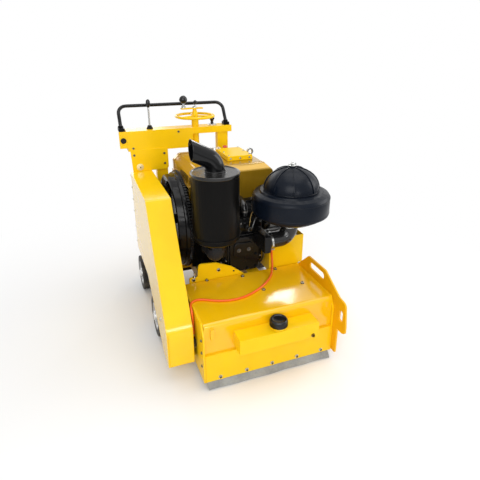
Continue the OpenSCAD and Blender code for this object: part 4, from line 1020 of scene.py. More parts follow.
@dataclass
class Studio:
    """The pale floor, the soft lamps and the white background."""

    floor_size: float = 40.0
    floor_z: float = -0.0005
    floor_tone: float = 0.88
    clear_radius: float = 0.6
    white_radius: float = 2.0
    world_light: float = 0.48

    def build(self) -> None:
        """Makes the floor, the lamps and the world."""
        bpy.context.scene.view_settings.view_transform = "Standard"
        self.build_floor()
        for lamp in LAMPS:
            lamp.hang()
        self.build_world()

    def build_floor(self) -> None:
        """Makes the floor, which turns plain white far from the machine."""
        half, z = self.floor_size / 2, self.floor_z
        mesh = bpy.data.meshes.new("floor")
        mesh.from_pydata([(-half, -half, z), (half, -half, z), (half, half, z), (-half, half, z)], [],
                         [(0, 1, 2, 3)])
        material = bpy.data.materials.new("pale_floor")
        material.use_nodes = True
        w = Wiring(material.node_tree)
        shader = material.node_tree.nodes["Principled BSDF"]
        for label, value in (("Base Color", (self.floor_tone, self.floor_tone, self.floor_tone, 1.0)),
                             ("Roughness", 0.85), ("Specular IOR Level", 0.2)):
            shader.inputs[label].default_value = value
        reach = w.add("ShaderNodeVectorMath", {0: w.place()}, operation="LENGTH").outputs["Value"]
        seen = w.add("ShaderNodeLightPath").outputs["Is Camera Ray"]
        share = w.math("MULTIPLY", w.ramp(reach, self.clear_radius, self.white_radius), seen)
        white = w.out("ShaderNodeEmission", {"Color": (1.0, 1.0, 1.0, 1.0), "Strength": 1.0})
        blend = w.out("ShaderNodeMixShader", {0: share, 1: shader.outputs[0], 2: white})
        w.feed(material.node_tree.nodes["Material Output"].inputs["Surface"], blend)
        mesh.materials.append(material)
        placed("floor", mesh)

    def build_world(self) -> None:
        """Makes the world: white where it is seen or mirrored, a plain grey as light."""
        world = bpy.data.worlds.new("studio")
        bpy.context.scene.world = world
        world.use_nodes = True
        w = Wiring(world.node_tree)
        path = w.add("ShaderNodeLightPath").outputs
        shown = w.math("MAXIMUM", path["Is Camera Ray"],
                       w.math("MAXIMUM", path["Is Glossy Ray"], path["Is Transmission Ray"]))
        back = world.node_tree.nodes["Background"]
        back.inputs["Color"].default_value = (1.0, 1.0, 1.0, 1.0)
        extra = w.math("MULTIPLY", shown, 1.0 - self.world_light)
        w.feed(back.inputs["Strength"], w.math("ADD", extra, self.world_light))


@dataclass
class SprayWater:
    """The spray tank with its cap, the valve, the hose and its fitting."""

    shop: Workshop
    hose_radius: float = 5.0
    lid_level: float = 316.4
    gap_x: float = -307.5
    cap: Point = (15.0, -40.0, 266.0)
    cap_radius: float = 36.8
    cap_ribs: int = 44

    def hose_route(self) -> List[Point]:
        """Gives the hose's drawing points, from its fitting to the valve."""
        z, x = self.lid_level, self.gap_x
        return [
            (150, 331, 428), (150, 331, 404), (151, 330, 382), (151, 325, 360), (147, 313, 338),
            (138, 296, 324), (124, 272, 317.5), (107, 249, z), (87, 226, z), (62, 203, z), (34, 181, z),
            (2, 161, z), (-32, 144, z), (-68, 132, z), (-104, 127, z), (-140, 129, z), (-174, 138, z),
            (-204, 152, z), (-229, 166, z), (-249, 176, z), (-266, 181, z), (-282, 178, z), (-296, 169, z),
            (-305, 154, z), (x, 139, 313), (x, 126, 305), (x, 117, 292), (x, 114, 276), (x, 114, 252),
            (x, 114, 228), (x, 114, 205), (x, 114, 184)]

    def build_hose(self) -> None:
        """Makes the hose as one smooth curve, with the ends in their seats."""
        points = [self.shop.at(*point) for point in self.hose_route()]
        data = bpy.data.curves.new("spray_hose_line", "CURVE")
        data.dimensions = "3D"
        data.bevel_depth = self.hose_radius * MM
        data.bevel_resolution = 4
        data.resolution_u = 6
        data.use_fill_caps = True
        spline = data.splines.new("POLY")
        spline.points.add(len(points) - 1)
        for spot, point in zip(spline.points, points):
            spot.co = (*point, 1.0)
        data.materials.append(self.shop.finishes.material(HOSE))
        hose = placed("spray_hose_line", data)
        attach(hose, "chassis")
        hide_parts("spray_hose")
        length = sum((b - a).length for a, b in zip(points, points[1:]))
        tuple(points[0])
        log.info("spray_hose_line: %.0f mm long", length / MM)

    def build(self) -> None:
        """Makes the tank, its cap, the valve and the fitting."""
        shop = self.shop
        shop.dress(YELLOW, water_tank=1.6)
        shop.dress(KNOB, spray_valve=0.8)
        shop.dress(BRASS, hose_fitting=0.5)
        self.build_cap()
        for side, (x, turn) in enumerate(((-168.5, 1), (188.5, -1))):
            shop.weld(f"tank_weld_{side}", [(x, -1, 192), (x, -1, 257), (x + turn * 40, -1, 258.5)], 1.8)
        shop.bolts("tank_drain_plug", [(160, -76, 201)], FRONT, BRASS, Bolt(7.0, 5.0, 9.0))
        shop.clamp("fitting_clamp", (150, 331, 419), UP, 5.0, FRONT, width=7.0)
        shop.lathe("valve_clamp_band", [
            (4, -4), (6.3, -4), (6.3, 4), (4, 4)], (self.gap_x, 114, 194), UP, ZINC, 32)
        shop.lathe("valve_stem", [
            (0, -7), (5, -7), (5, -1), (3, 0), (3, 9), (0, 9)], (-307, 101, 158), FRONT, BRASS, 20)
        shop.prism("valve_handle", rounded_box((-313, 151), (-302, 190), 3, 5), "y", 89, 93, KNOB)

    def build_cap(self) -> None:
        """Makes the screw cap, with its gripping ribs and dished top."""
        shop, r = self.shop, self.cap_radius
        shop.lathe("tank_cap_top", [
            (0, 1), (r - 1, 1), (r, 2), (r, 24), (r - 0.6, 27), (r - 3, 30.4), (r - 6, 31.6),
            (r - 9, 31.4), (r - 12, 29.4), (r - 16, 28.2), (0, 27.6)], self.cap, UP, KNOB, 88,
            stands_for=["tank_cap"], sharp=PIPE_SHARP)
        rib = small_block((r - 1, -0.9, 2.5), (r + 1.2, 0.9, 22))
        shop.around("tank_cap_ribs", rib, self.cap_ribs, UP, self.cap, KNOB)


@dataclass
class Housing:
    """The drum housing: side plates, walls, lid, skirts and the sliding side plate."""

    shop: Workshop
    lid_z: float = 311.0
    skirt_steps: int = 72
    skirt_wave: float = 1.6
    wave_from_z: float = 45.0
    wave_depth: float = 35.0

    def build(self) -> None:
        """Makes the housing's pieces."""
        shop = self.shop
        shop.dress(YELLOW, housing_left_plate=1.2, housing_right_plate=1.2, housing_rear_wall=1.2,
                   front_panel=1.2)
        shop.dress(LID_SHADED_YELLOW, lid=1.2)
        shop.dress(SHADED_PLATE_YELLOW, edge_plate=1.6)
        shop.dress(ZINC, edge_plate_pins=0.8)
        shop.dress(SATIN_BLACK, drum_bearings=1.0)
        self.build_bolts()
        self.build_welds()
        self.build_skirts()

    def build_bolts(self) -> None:
        """Seats the bolts of the lid, the front panel, the left plate and the bearings."""
        shop = self.shop
        lid = [(-181, 331), (-10, 308), (166, 317), (227, 152), (36, 163)]
        shop.bolts("lid_washers", [(x, y, self.lid_z) for x, y in lid], UP, SATIN_BLACK,
                   Bolt(7.0, 0.6, 9.0, 24))
        shop.bolts("lid_bolts", [(x, y, self.lid_z + 1.8) for x, y in lid], UP, STEEL,
                   Bolt(5.2, 4.0, 7.0))
        shop.bolts("front_panel_bolts", [(x, HOUSING_FRONT_Y, 51) for x in (-230, -112, 6, 126, 247)],
                   FRONT, STEEL, Bolt(6.0, 4.5, 8.5))
        shop.bolts("left_plate_bolts", [(-300, 12, z) for z in (235, 175, 110)], LEFT, CAST_STEEL,
                   Bolt(4.5, 3.0, 6.5))
        for side, x, way in (("left", -280, RIGHT), ("right", 280, LEFT)):
            shop.bolts(f"{side}_bearing_bolts", [(x, y, z) for y, z in circle(6, 60, DRUM_AXIS)], way, ZINC,
                       Bolt(5.0, 4.0, 6.5))
        shop.bolts("edge_pin_bolts", [(313, y, 190) for y in (60, 280)], RIGHT, STEEL,
                   Bolt(7.0, 4.5, 10.0))

    def build_welds(self) -> None:
        """Lays the weld beads where the panel and the lid meet the side plates."""
        shop = self.shop
        for name, x in (("left", -292.5), ("right", 292.5)):
            shop.weld(f"{name}_corner_weld", [(x, -10, 38), (x, -10, 166)], 2.0)
            shop.weld(f"{name}_lid_weld", [(x, 20, 310.5), (x, 326, 310.5)], 1.8)
        shop.weld("panel_top_weld", [(-288, -1, 168), (288, -1, 168)], 1.8)
        shop.weld("lock_tab_weld", [(-252, -1, 244), (-252, -1, 292)], 1.8)

    def build_skirts(self) -> None:
        """Makes the two rubber skirts, which sag in slow waves towards their lower edges."""
        rows = {
            (-284.0, 290.0): [(0, 60), (0, 36), (-11, 20), (-22, 4), (-16, 2), (-5, 18), (6, 34), (6, 60)],
            (-286.0, 286.0): [(320, 90), (320, 50), (320, 10), (326, 10), (326, 50), (326, 90)]}
        bm = bmesh.new()
        for (low, high), profile in rows.items():
            rings = []
            for k in range(self.skirt_steps + 1):
                share = k / self.skirt_steps
                x = low + (high - low) * share
                wave = self.skirt_wave * (math.sin(share * 23.0) * 0.6 + math.sin(share * 9.0 + 1.0) * 0.4)
                ring = []
                for y, z in profile:
                    swing = min(1.0, max(0.0, (self.wave_from_z - z) / self.wave_depth))
                    drop = 0.8 if z < 15 else 0.0
                    ring.append(bm.verts.new(self.shop.at(x, y + wave * swing, z + wave * drop)))
                rings.append(ring)
            count = len(profile)
            for one, two in zip(rings, rings[1:]):
                for i in range(count):
                    bm.faces.new((one[i], two[i], two[(i + 1) % count], one[(i + 1) % count]))
            bm.faces.new(rings[0])
            bm.faces.new(rings[-1])
        self.shop.from_bmesh("rubber_skirts_hanging", bm, SKIRT, stands_for=["rubber_skirts"], sharp=40.0)


@dataclass
class MillingDrum:
    """The drum with its bits, shaft and pulley."""

    shop: Workshop
    tip_from: float = 122.0

    def is_tip(self, spot: Vector, normal: Vector) -> bool:
        """Tells whether a face lies at the carbide end of a bit."""
        return math.hypot(spot.y - DRUM_AXIS[0], spot.z - DRUM_AXIS[1]) > self.tip_from

    def build(self) -> None:
        """Makes the drum's pieces."""
        shop = self.shop
        shop.dress(SATIN_BLACK, drum=1.0)
        shop.soften("milling_bits", DARK_STEEL, 0.6, others=[(CARBIDE, self.is_tip)])
        shop.dress(STEEL, drum_shaft=1.0)
        shop.dress(SATIN_BLACK, drum_pulley=0.8)
        ring = [(PULLEY_FACE_X, y, z) for y, z in circle(4, 36, DRUM_AXIS, 0.5)]
        shop.bolts("drum_pulley_bolts", ring, LEFT, ZINC, Bolt(4.5, 3.0, 5.5), body="drum_rotor")


@dataclass
class BeltDrive:
    """The folded belt guard, the belts and the engine's pulley."""

    shop: Workshop
    left_x: float = -426.0
    rear_y: float = 852.0

    def build(self) -> None:
        """Makes the belt drive's pieces."""
        shop = self.shop
        shop.dress(GUARD_LIT_YELLOW, belt_guard=1.8)
        shop.dress(BELT, drive_belts=0.8)
        shop.dress(SATIN_BLACK, engine_pulley=0.8)
        rear = [(self.left_x, self.rear_y, z) for z in (706, 640, 575, 510, 420, 330)]
        shop.bolts("guard_rear_bolts", rear, LEFT, ZINC, Bolt(4.0, 2.4, 6.5))
        shop.bolts("guard_front_bolt", [(self.left_x, 202, 244)], LEFT, ZINC, Bolt(5.0, 3.0, 7.0))
        shop.weld("guard_knee_weld", [(-420, 80, 86), (-420, 80, 236)], 1.4)
        shop.weld("guard_foot_weld", [(-300.5, 122, 84), (-300.5, 158, 84)], 2.0)
        ring = [(PULLEY_FACE_X, y, z) for y, z in circle(6, 60, CRANK_AXIS)]
        shop.bolts("engine_pulley_bolts", ring, LEFT, ZINC, Bolt(5.0, 3.5, 6.0), body="engine_rotor")


@dataclass
class Engine:
    """The open single-cylinder diesel."""

    shop: Workshop
    head_y: float = 372.0
    cover_y: float = 347.0
    rib_count: int = 5
    rib_z: float = 352.0
    rib_step: float = 20.0

    def build(self) -> None:
        """Makes the engine's pieces."""
        shop = self.shop
        shop.dress(GLOSS_CAST, flywheel=0.8)
        shop.dress(ENGINE_BLACK, crankcase=2.5, cylinder_block=2.0, cylinder_head=3.0, head_cover=4.0)
        shop.dress(YELLOW, engine_bracket=1.4)
        self.build_head()
        self.build_injection()
        self.build_right_side()
        self.build_rear()
        self.build_feet()

    def build_head(self) -> None:
        """Makes the rocker cover's dome and nuts, and the head's nuts and ribs."""
        shop, y = self.shop, self.cover_y
        dome = rounded_box((-40, 396), (56, 470), 14, 18)
        shop.prism("rocker_dome", dome, "y", y - 7, y + 1, ENGINE_BLACK, edge=4.0)
        shop.prism("rocker_gasket", rounded_box((-60, 316), (90, 498), 22), "y", 369.6, 371.4, DARK_STEEL,
                   edge=0.0)
        shop.bolts("rocker_nuts", [(-44, y, 483), (48, y, 484), (74, y, 332), (30, y, 330), (-44, y, 332),
                                   (74, y, 398)], FRONT, ENGINE_BLACK, Bolt(6.5, 6.0, 9.5, dome=0.8))
        shop.bolts("rocker_acorns", [(-16, y - 7, 433), (34, y - 7, 433)], FRONT, CAST_STEEL,
                   Bolt(6.5, 6.0, 10.0, dome=1.0))
        nuts = [(-76, 560), (-72, 510), (0, 562), (98, 562), (100, 460), (100, 380), (-76, 380), (-6, 515)]
        shop.bolts("head_nuts", [(x, self.head_y, z) for x, z in nuts], FRONT, ENGINE_BLACK,
                   Bolt(9.0, 10.0, 12.5, dome=0.5))
        shop.bolts("head_studs", [(x, self.head_y - 11.6, z) for x, z in nuts], FRONT, CAST_STEEL,
                   Bolt(4.5, 5.0, 5.0, 12, dome=0.4))
        for k in range(self.rib_count):
            z = self.rib_z + self.rib_step * k
            shop.prism(f"head_rib_{k}", rounded_box((106, z), (117, z + 6), 2), "y", 378, 404,
                       ENGINE_BLACK, edge=1.0)
        shop.lathe("water_outlet", [(0, 0), (26, 0), (26, 5), (15, 8), (15, 30), (17, 31), (17, 35),
                                    (0, 35)], (30, 391, 578), UP, ENGINE_BLACK, 32)
        shop.tube("water_hose", [(30, 391, 606), (30, 391, 616), (30, 397, 630), (30, 414, 642),
                                 (30, 436, 648), (30, 470, 650)], 16.0, ELBOW, sides=20)
        shop.lathe("water_hose_band", [
            (15, -4), (17.4, -4), (17.4, 4), (15, 4)], (30, 391, 609), UP, DARK_STEEL, 32)

    def build_injection(self) -> None:
        """Makes the injector's nut and lines, the fuel filter and the governor's lever."""
        shop = self.shop
        shop.bolts("injector_nut", [(34, 328, 540)], FRONT, CAST_STEEL, Bolt(9.0, 10.0, 11.0))
        shop.tube("injection_line", [(34, 320, 540), (34, 312, 545), (40, 308, 566), (54, 316, 592),
                                     (76, 334, 608), (96, 362, 614), (120, 398, 612), (132, 446, 602),
                                     (134, 500, 590), (128, 532, 584)], 3.0, CAST_STEEL)
        shop.tube("leak_off_line", [(34, 336, 554), (36, 334, 574), (44, 346, 592), (62, 372, 604),
                                    (90, 398, 606), (112, 424, 590), (122, 440, 560)], 2.2, BRASS)
        shop.tube("breather_pipe", [(106, 386, 330), (112, 368, 344), (116, 352, 380), (114, 346, 430),
                                    (108, 345, 470), (100, 352, 500)], 5.0, CAST_STEEL)
        shop.lathe("fuel_filter", [
            (0, 0), (6, 0), (8, 6), (24, 8), (27, 14), (27, 58), (25, 62), (30, 64), (30, 72), (24, 76),
            (12, 78), (8, 84), (0, 84)], (160, 440, 480), UP, ENGINE_BLACK, 40)
        shop.block("filter_bracket", (126, 428, 540), (150, 452, 548), ENGINE_BLACK)
        shop.prism("governor_lever", rounded_box((118, 604), (134, 660), 5, 7), "y", 482, 487, CAST_STEEL)

    def build_right_side(self) -> None:
        """Makes the side cover's bolts, the injection pump, the oil filter, its filler and the dipstick."""
        shop, x = self.shop, 127.0
        rim = [(542, 352), (600, 352), (664, 352), (722, 360), (748, 404), (764, 450), (764, 498),
               (738, 556), (700, 590), (640, 598), (580, 598), (542, 590), (542, 530), (542, 470),
               (542, 410)]
        shop.bolts("side_cover_bolts", [(x, y, z) for y, z in rim], RIGHT, ZINC, Bolt(5.5, 4.5, 8.0))
        ring = [(137, CRANK_AXIS[0] + 38 * math.cos(a), CRANK_AXIS[1] + 38 * math.sin(a))
                for a in (0.4, 1.9, 3.5, 5.1)]
        shop.bolts("shaft_cover_bolts", ring, RIGHT, ZINC, Bolt(5.0, 4.0, 7.0))
        shop.prism("injection_pump", rounded_box((512, 556), (574, 616), 8, 12), "x", 104, 146,
                   ENGINE_BLACK, edge=3.0)
        shop.bolts("pump_unions", [(146, y, z) for y, z in ((530, 584), (556, 572), (556, 600))], RIGHT,
                   CAST_STEEL, Bolt(6.0, 9.0, 8.0))
        shop.lathe("oil_filter", [(0, 0), (33, 0), (36, 4), (36, 8), (34, 10), (34, 62), (30, 70),
                                  (14, 73), (0, 73)], (126, 700, 404), RIGHT, KNOB, 48)
        shop.lathe("oil_filler", [(0, 0), (20, 0), (20, 8), (17, 10), (17, 22), (21, 24), (21, 34),
                                  (18, 36), (0, 36)], (84, 660, 648), UP, KNOB, 24)
        shop.tube("dipstick", [
            (116, 676, 420), (136, 682, 440), (139, 684, 470), (139, 684, 540), (139, 684, 566),
            (139, 691, 578), (139, 700, 570), (139, 691, 560), (139, 685, 556)], 2.6, CAST_STEEL)
        shop.bolts("oil_drain", [(127, 560, 330)], RIGHT, BRASS, Bolt(9.0, 7.0, 12.0))

    def build_rear(self) -> None:
        """Makes the starter and the bolts of the rear cover."""
        shop = self.shop
        ring = [(x, 816, z) for x, z in circle(8, 52, (-115, 500))]
        shop.bolts("rear_cover_bolts", ring, REAR, ZINC, Bolt(5.0, 4.0, 7.0))
        shop.lathe("starter", [(0, 0), (22, 0), (22, 14), (30, 16), (30, 92), (28, 96), (28, 118),
                               (24, 122), (0, 122)], (-196, 828, 398), RIGHT, ENGINE_BLACK, 40)
        shop.lathe("starter_solenoid", [(0, 0), (15, 0), (15, 58), (12, 62), (6, 64), (6, 70), (0, 70)],
                   (-180, 826, 442), RIGHT, ENGINE_BLACK, 28)

    def build_feet(self) -> None:
        """Seats the bolts that hold the engine's feet and its bracket."""
        shop = self.shop
        spots = [(x, y, 312) for x in (-160, 70) for y in (474, 816)]
        shop.bolts("foot_bolts", spots, UP, ZINC, Bolt(9.0, 7.0, 13.0))
        shop.bolts("bracket_bolts", [(-242, 338, 322), (-226, 338, 284), (-120, 338, 352)], FRONT, STEEL,
                   Bolt(6.5, 5.0, 9.5))
        shop.bolts("bracket_stud", [(-236, 341, 335)], UP, STEEL, Bolt(4.0, 20.0, 9.0, 12))


@dataclass
class Exhaust:
    """The exhaust elbow, the muffler and the tail pipe."""

    shop: Workshop
    axis: Point = (-150.0, 262.0, 0.0)
    top_z: float = 854.0
    radius: float = 103.0
    gloss_depth: float = 14.0
    cone_depth: float = 310.0
    cone_radius: float = 55.0
    mouth: Point = (-246.4, 262.0, 948.8)
    mouth_radius: float = 38.6
    mouth_tilt: float = 62.0
    bend_radius: float = 43.0

    def is_top(self, spot: Vector, normal: Vector) -> bool:
        """Tells whether a face belongs to the muffler's glossy upper end."""
        return spot.z > self.top_z - self.gloss_depth

    def is_cone(self, spot: Vector, normal: Vector) -> bool:
        """Tells whether a face belongs to the bare cone below the muffler."""
        off = math.hypot(spot.x - self.axis[0], spot.y - self.axis[1])
        return spot.z < self.top_z - self.cone_depth and off < self.cone_radius

    def build(self) -> None:
        """Makes the muffler, the tail pipe and the elbow, with the details on them."""
        shop = self.shop
        shop.dress(ENGINE_BLACK, exhaust_pipe=1.0)
        shop.soften("muffler", SOOT_BLACK, 1.2,
                    others=[(MUFFLER_TOP, self.is_top), (CONE_GREY, self.is_cone)])
        shop.soften("tail_pipe", GLOSS_BLACK, 0.0, sharp=PIPE_SHARP)
        self.build_muffler()
        self.build_tail_pipe()
        self.build_elbow()

    def build_muffler(self) -> None:
        """Rolls the muffler's upper rim and its lower seam."""
        shop, r = self.shop, self.radius
        x, y, _ = self.axis
        shop.lathe("muffler_rim", [(r - 6, -3), (r - 2, -4.5), (r + 0.5, -3), (r + 0.5, 1), (r - 2, 2.6),
                                   (r - 6, 1)], (x, y, self.top_z - 2), UP, MUFFLER_TOP, 88)
        shop.lathe("muffler_lower_seam", [(r - 4, -3), (r + 0.2, -2.4), (r + 1, 0), (r + 0.2, 2.4),
                                          (r - 4, 3)], (x, y, self.top_z - 276), UP, SOOT_BLACK, 88)

    def build_tail_pipe(self) -> None:
        """Welds the tail pipe's foot and rolls the lip of its slanted mouth."""
        shop = self.shop
        foot = [(x, y, self.top_z + 6) for x, y in circle(40, 42, self.axis[:2])]
        shop.weld("tail_pipe_weld", foot, 1.8, MUFFLER_TOP, closed=True)
        x, y, z = self.mouth
        stretch = 1.0 / math.cos(math.radians(90.0 - self.mouth_tilt))
        lip = [(x, y + a, z + b * stretch) for a, b in circle(36, self.mouth_radius)]
        shop.tube("tail_pipe_lip", lip, 1.9, GLOSS_BLACK, closed=True, sides=8, spacing=5.0)

    def build_elbow(self) -> None:
        """Makes the grey sleeve over the exhaust elbow, its bands and its nuts."""
        shop, bend = self.shop, self.bend_radius
        x, y, _ = self.axis
        quarter = [math.radians(15 * k) for k in range(7)]
        arc = [(x, y + bend - bend * math.cos(a), 511 - bend * math.sin(a)) for a in quarter]
        run = [(x, back, 468) for back in (316, 328, 340, 352, 364, 374)]
        shop.tube("elbow_sleeve", [
            (x, y, 533), (x, y, 522), *arc, *run], 37.0, CONE_GREY, sides=32, spacing=8.0)
        shop.lathe("sleeve_band", [
            (35, -6), (39.6, -6), (39.6, 6), (35, 6)], (x, y, 516), UP, ENGINE_BLACK, 48)
        shop.lathe("sleeve_foot", [
            (35, -10), (42, -10), (42, -1), (35, -1)], (x, 375, 468), REAR, ENGINE_BLACK, 48)
        shop.bolts("exhaust_nuts", [(-100, 375, pz) for pz in (446, 490)], FRONT, CAST_STEEL,
                   Bolt(5.5, 6.0, 8.0))


@dataclass
class Intake:
    """The intake port, the rubber elbow and the air cleaner."""

    shop: Workshop
    axis: Point = (205.0, 262.0, 0.0)
    nut_z: float = 845.5

    def is_nut(self, spot: Vector, normal: Vector) -> bool:
        """Tells whether a face belongs to the bright nut on the dome."""
        return spot.z > self.nut_z

    def build(self) -> None:
        """Makes the intake's pieces."""
        shop = self.shop
        x, y, _ = self.axis
        shop.dress(ENGINE_BLACK, intake_manifold=5.0)
        shop.dress(ELBOW, intake_elbow=1.0)
        shop.soften("air_cleaner", NAVY_BLACK, 1.0, others=[(ZINC, self.is_nut)])
        shop.lathe("cleaner_seam", [(168, 0), (173.4, 0.6), (174.8, 2.6), (174.8, 5.4), (173.4, 7.4),
                                    (168, 8)], (x, y, 704), UP, NAVY_BLACK, 96)
        shop.lathe("cleaner_lower_seam", [(168, 0), (173.6, 0.4), (174.6, 2), (174.6, 5), (173.6, 6.6),
                                          (168, 7)], (x, y, 639), UP, NAVY_BLACK, 96)
        shop.lathe("dome_seam", [(118, 0), (123.5, 0.5), (124.5, 2.5), (123.5, 4.5), (118, 5)],
                   (x, y, 738.5), UP, NAVY_BLACK, 88)
        shop.prism("wing_nut", rounded([(x - 19, 848, 3), (x + 19, 848, 3), (x + 19, 862, 6),
                                        (x + 7, 855, 2), (x - 7, 855, 2), (x - 19, 862, 6)], 4), "y",
                   y - 2, y + 2, ZINC)
        shop.clamp("neck_clamp", (x, y, 566), UP, 38.0, (0.5, -0.87, 0))
        shop.clamp("elbow_clamp", (106, y, 502), RIGHT, 38.0, FRONT)
        shop.bolts("port_studs", [(79, py, 540) for py in (236, 330)], UP, ENGINE_BLACK,
                   Bolt(6.0, 6.0, 8.5, dome=0.5))


@dataclass
class FuelSystem:
    """The fuel tank with its header box, filler cap and lifting eye."""

    shop: Workshop
    strap_y: float = 498.0

    def build(self) -> None:
        """Makes the fuel tank's pieces."""
        shop = self.shop
        shop.dress(SHADED_GOLD, fuel_tank=2.5)
        shop.dress(YELLOW, header_box=2.5)
        shop.dress(CHROME, filler_cap=1.0)
        shop.dress(ZINC, lifting_eye=0.8)
        for k, y in enumerate((self.strap_y, 806.0)):
            half = [(-205.6, 655), (-205.6, 769), (-204.6, 775.4), (-201.6, 780.6), (-175, 807.3),
                    (-171, 809.8), (-165, 810.6)]
            edge = [(side, y, z) for side, z in half] + [(-2 - side, y, z) for side, z in reversed(half)]
            shop.tube(f"tank_seam_{k}", spaced(edge, 7.0), 1.3, SHADED_GOLD, sides=6, spacing=7.0)
        shop.bolts("header_side_bolts", [(x, 560, 822) for x in (24, 73, 122)], FRONT, ZINC,
                   Bolt(3.5, 2.5, 5.0))
        shop.bolts("header_lid_bolts", [(x, y, 834) for x in (20, 126) for y in (574, 655, 736)], UP,
                   ZINC, Bolt(3.5, 2.5, 5.5))
        shop.lathe("vent_cap", [(0, 0), (9, 0), (9, 3), (6, 4), (6, 10), (11, 11), (11, 22), (9, 25),
                                (0, 26)], (76, 800, 810), UP, LENS_RED, 24)
        chain = [(30, 800, 826), (40, 797, 830), (52, 797, 822), (62, 799, 815), (69, 800, 815)]
        shop.tube("cap_chain", chain, 1.4, ZINC, sides=6)
        shop.lathe("fuel_tap", [(0, 0), (9, 0), (9, 5), (5, 6), (5, 22), (8, 24), (8, 34), (0, 34)],
                   (150, 470, 651), DOWN, BRASS, 24)
        shop.tube("fuel_pipe", [(150, 470, 620), (150, 470, 606), (152, 464, 590), (158, 450, 574),
                                (160, 441, 562)], 3.4, BELT)


@dataclass
class BatteryTray:
    """The battery in its open box."""

    shop: Workshop

    def build(self) -> None:
        """Makes the battery and its box, with vent plugs, pole clamps, leads and bolts."""
        shop = self.shop
        shop.dress(YELLOW, battery_box=1.0)
        shop.dress(BATTERY_BLACK, battery=3.0)
        plug = turned([(0, 0), (9, 0), (9, 3), (7, 4.5), (0, 4.5)], 18)
        shop.row("vent_plugs", plug, (200, 392, 445), 6, (0, 31, 0), KNOB)
        for name, y in (("rear", 565), ("front", 377)):
            shop.lathe(f"{name}_pole_clamp", [
                (8, 0), (13, 0), (13, 9), (8, 9)], (297, y, 440), UP, DARK_STEEL, 24)
            inward = 480 if name == "rear" else 440
            shop.tube(f"{name}_battery_lead", [
                (297, y, 449), (290, y + (inward - y) * 0.2, 458), (262, inward, 462), (222, inward, 462),
                (168, inward, 458), (152, inward, 450)], 4.5, BELT)
        shop.bolts("box_bolts", [(x, 342, 306) for x in (160, 312)], FRONT, ZINC, Bolt(5.5, 4.0, 8.0))


@dataclass
class RunningGear:
    """The chassis, the axles and the four wheels."""

    shop: Workshop
    rim_radius: float = 66.0
    tyre_radius: float = 100.0
    width: float = 50.0
    groove_depth: float = 3.0
    left_x: float = -420.0
    right_x: float = 305.0
    front_y: float = 440.0
    rear_y: float = 900.0
    nut_circle: float = 23.0

    def build(self) -> None:
        """Makes the running gear's pieces."""
        shop = self.shop
        shop.dress(YELLOW, base_frame=1.2)
        shop.dress(SATIN_BLACK, front_axle=1.0, rear_axle=1.0)
        for end, axle_y in (("front", self.front_y), ("rear", self.rear_y)):
            for side, x in (("left", self.left_x), ("right", self.right_x)):
                self.build_wheel(f"{end}_{side}", x, axle_y)
        for name, x, way in (("left", -300, -1), ("right", 300, 1)):
            shop.bolts(f"{name}_frame_bolts", [(x, y, z) for y in (352, 620, 760) for z in (170, 270)],
                       (way, 0, 0), ZINC, Bolt(7.0, 5.0, 10.0))
            shop.weld(f"{name}_frame_weld", [(x - way * 8.5, 340, 291.5), (x - way * 8.5, 985, 291.5)],
                      2.0)

    def build_wheel(self, name: str, x: float, axle_y: float) -> None:
        """Makes one wheel: its rim and hub from the drawing's shape, and a grooved tyre.

        Args:
            name: the wheel's end and side.
            x: drawing position of its left face.
            axle_y: drawing position of its axle.
        """
        shop, r, w = self.shop, self.tyre_radius, self.width
        body = f"wheel_{name}"

        def is_tyre(spot: Vector, normal: Vector) -> bool:
            """Tells whether a face belongs to the plain tyre, which the grooved one replaces."""
            return math.hypot(spot.y - axle_y, spot.z - r) > self.rim_radius + 0.4

        shop.soften(f"{name}_wheel", RIM, 0.6, without=is_tyre)
        tread = [(r - 7, 0.8), (r - 4, 1.0), (r - 1.2, 3.0), (r - 0.2, 6.5)]
        for groove in (15.0, 25.0, 35.0):
            tread += [(r, groove - 2.4), (r - self.groove_depth, groove - 1.6),
                      (r - self.groove_depth, groove + 1.6), (r, groove + 2.4)]
        tread += [(r - 0.2, w - 6.5), (r - 1.2, w - 3.0), (r - 4, w - 1.0), (r - 7, w - 0.8)]
        inner = self.rim_radius - 1.0
        profile = [(inner, 3.0), (inner + 3, 1.6), (inner + 9, 2.6), *tread, (inner + 9, w - 2.6),
                   (inner + 3, w - 1.6), (inner, w - 3.0)]
        shop.lathe(f"{name}_tyre", profile, (x, axle_y, r), RIGHT, TYRE, 84, body=body)
        outer = x if x < 0 else x + w
        way = -1 if x < 0 else 1
        hub = (outer - way * 1.0, axle_y, r)
        shop.lathe(f"{name}_hub_cap", [
            (0, 0), (20, 0), (20, 2), (17, 6), (0, 7.5)], hub, (way, 0, 0), CHROME, 40, body=body)
        spots = [(outer, y, z) for y, z in circle(5, self.nut_circle, (axle_y, r))]
        shop.bolts(f"{name}_hub_nuts", spots, (way, 0, 0), ZINC, Bolt(2.6, 2.4, 3.0), body=body)


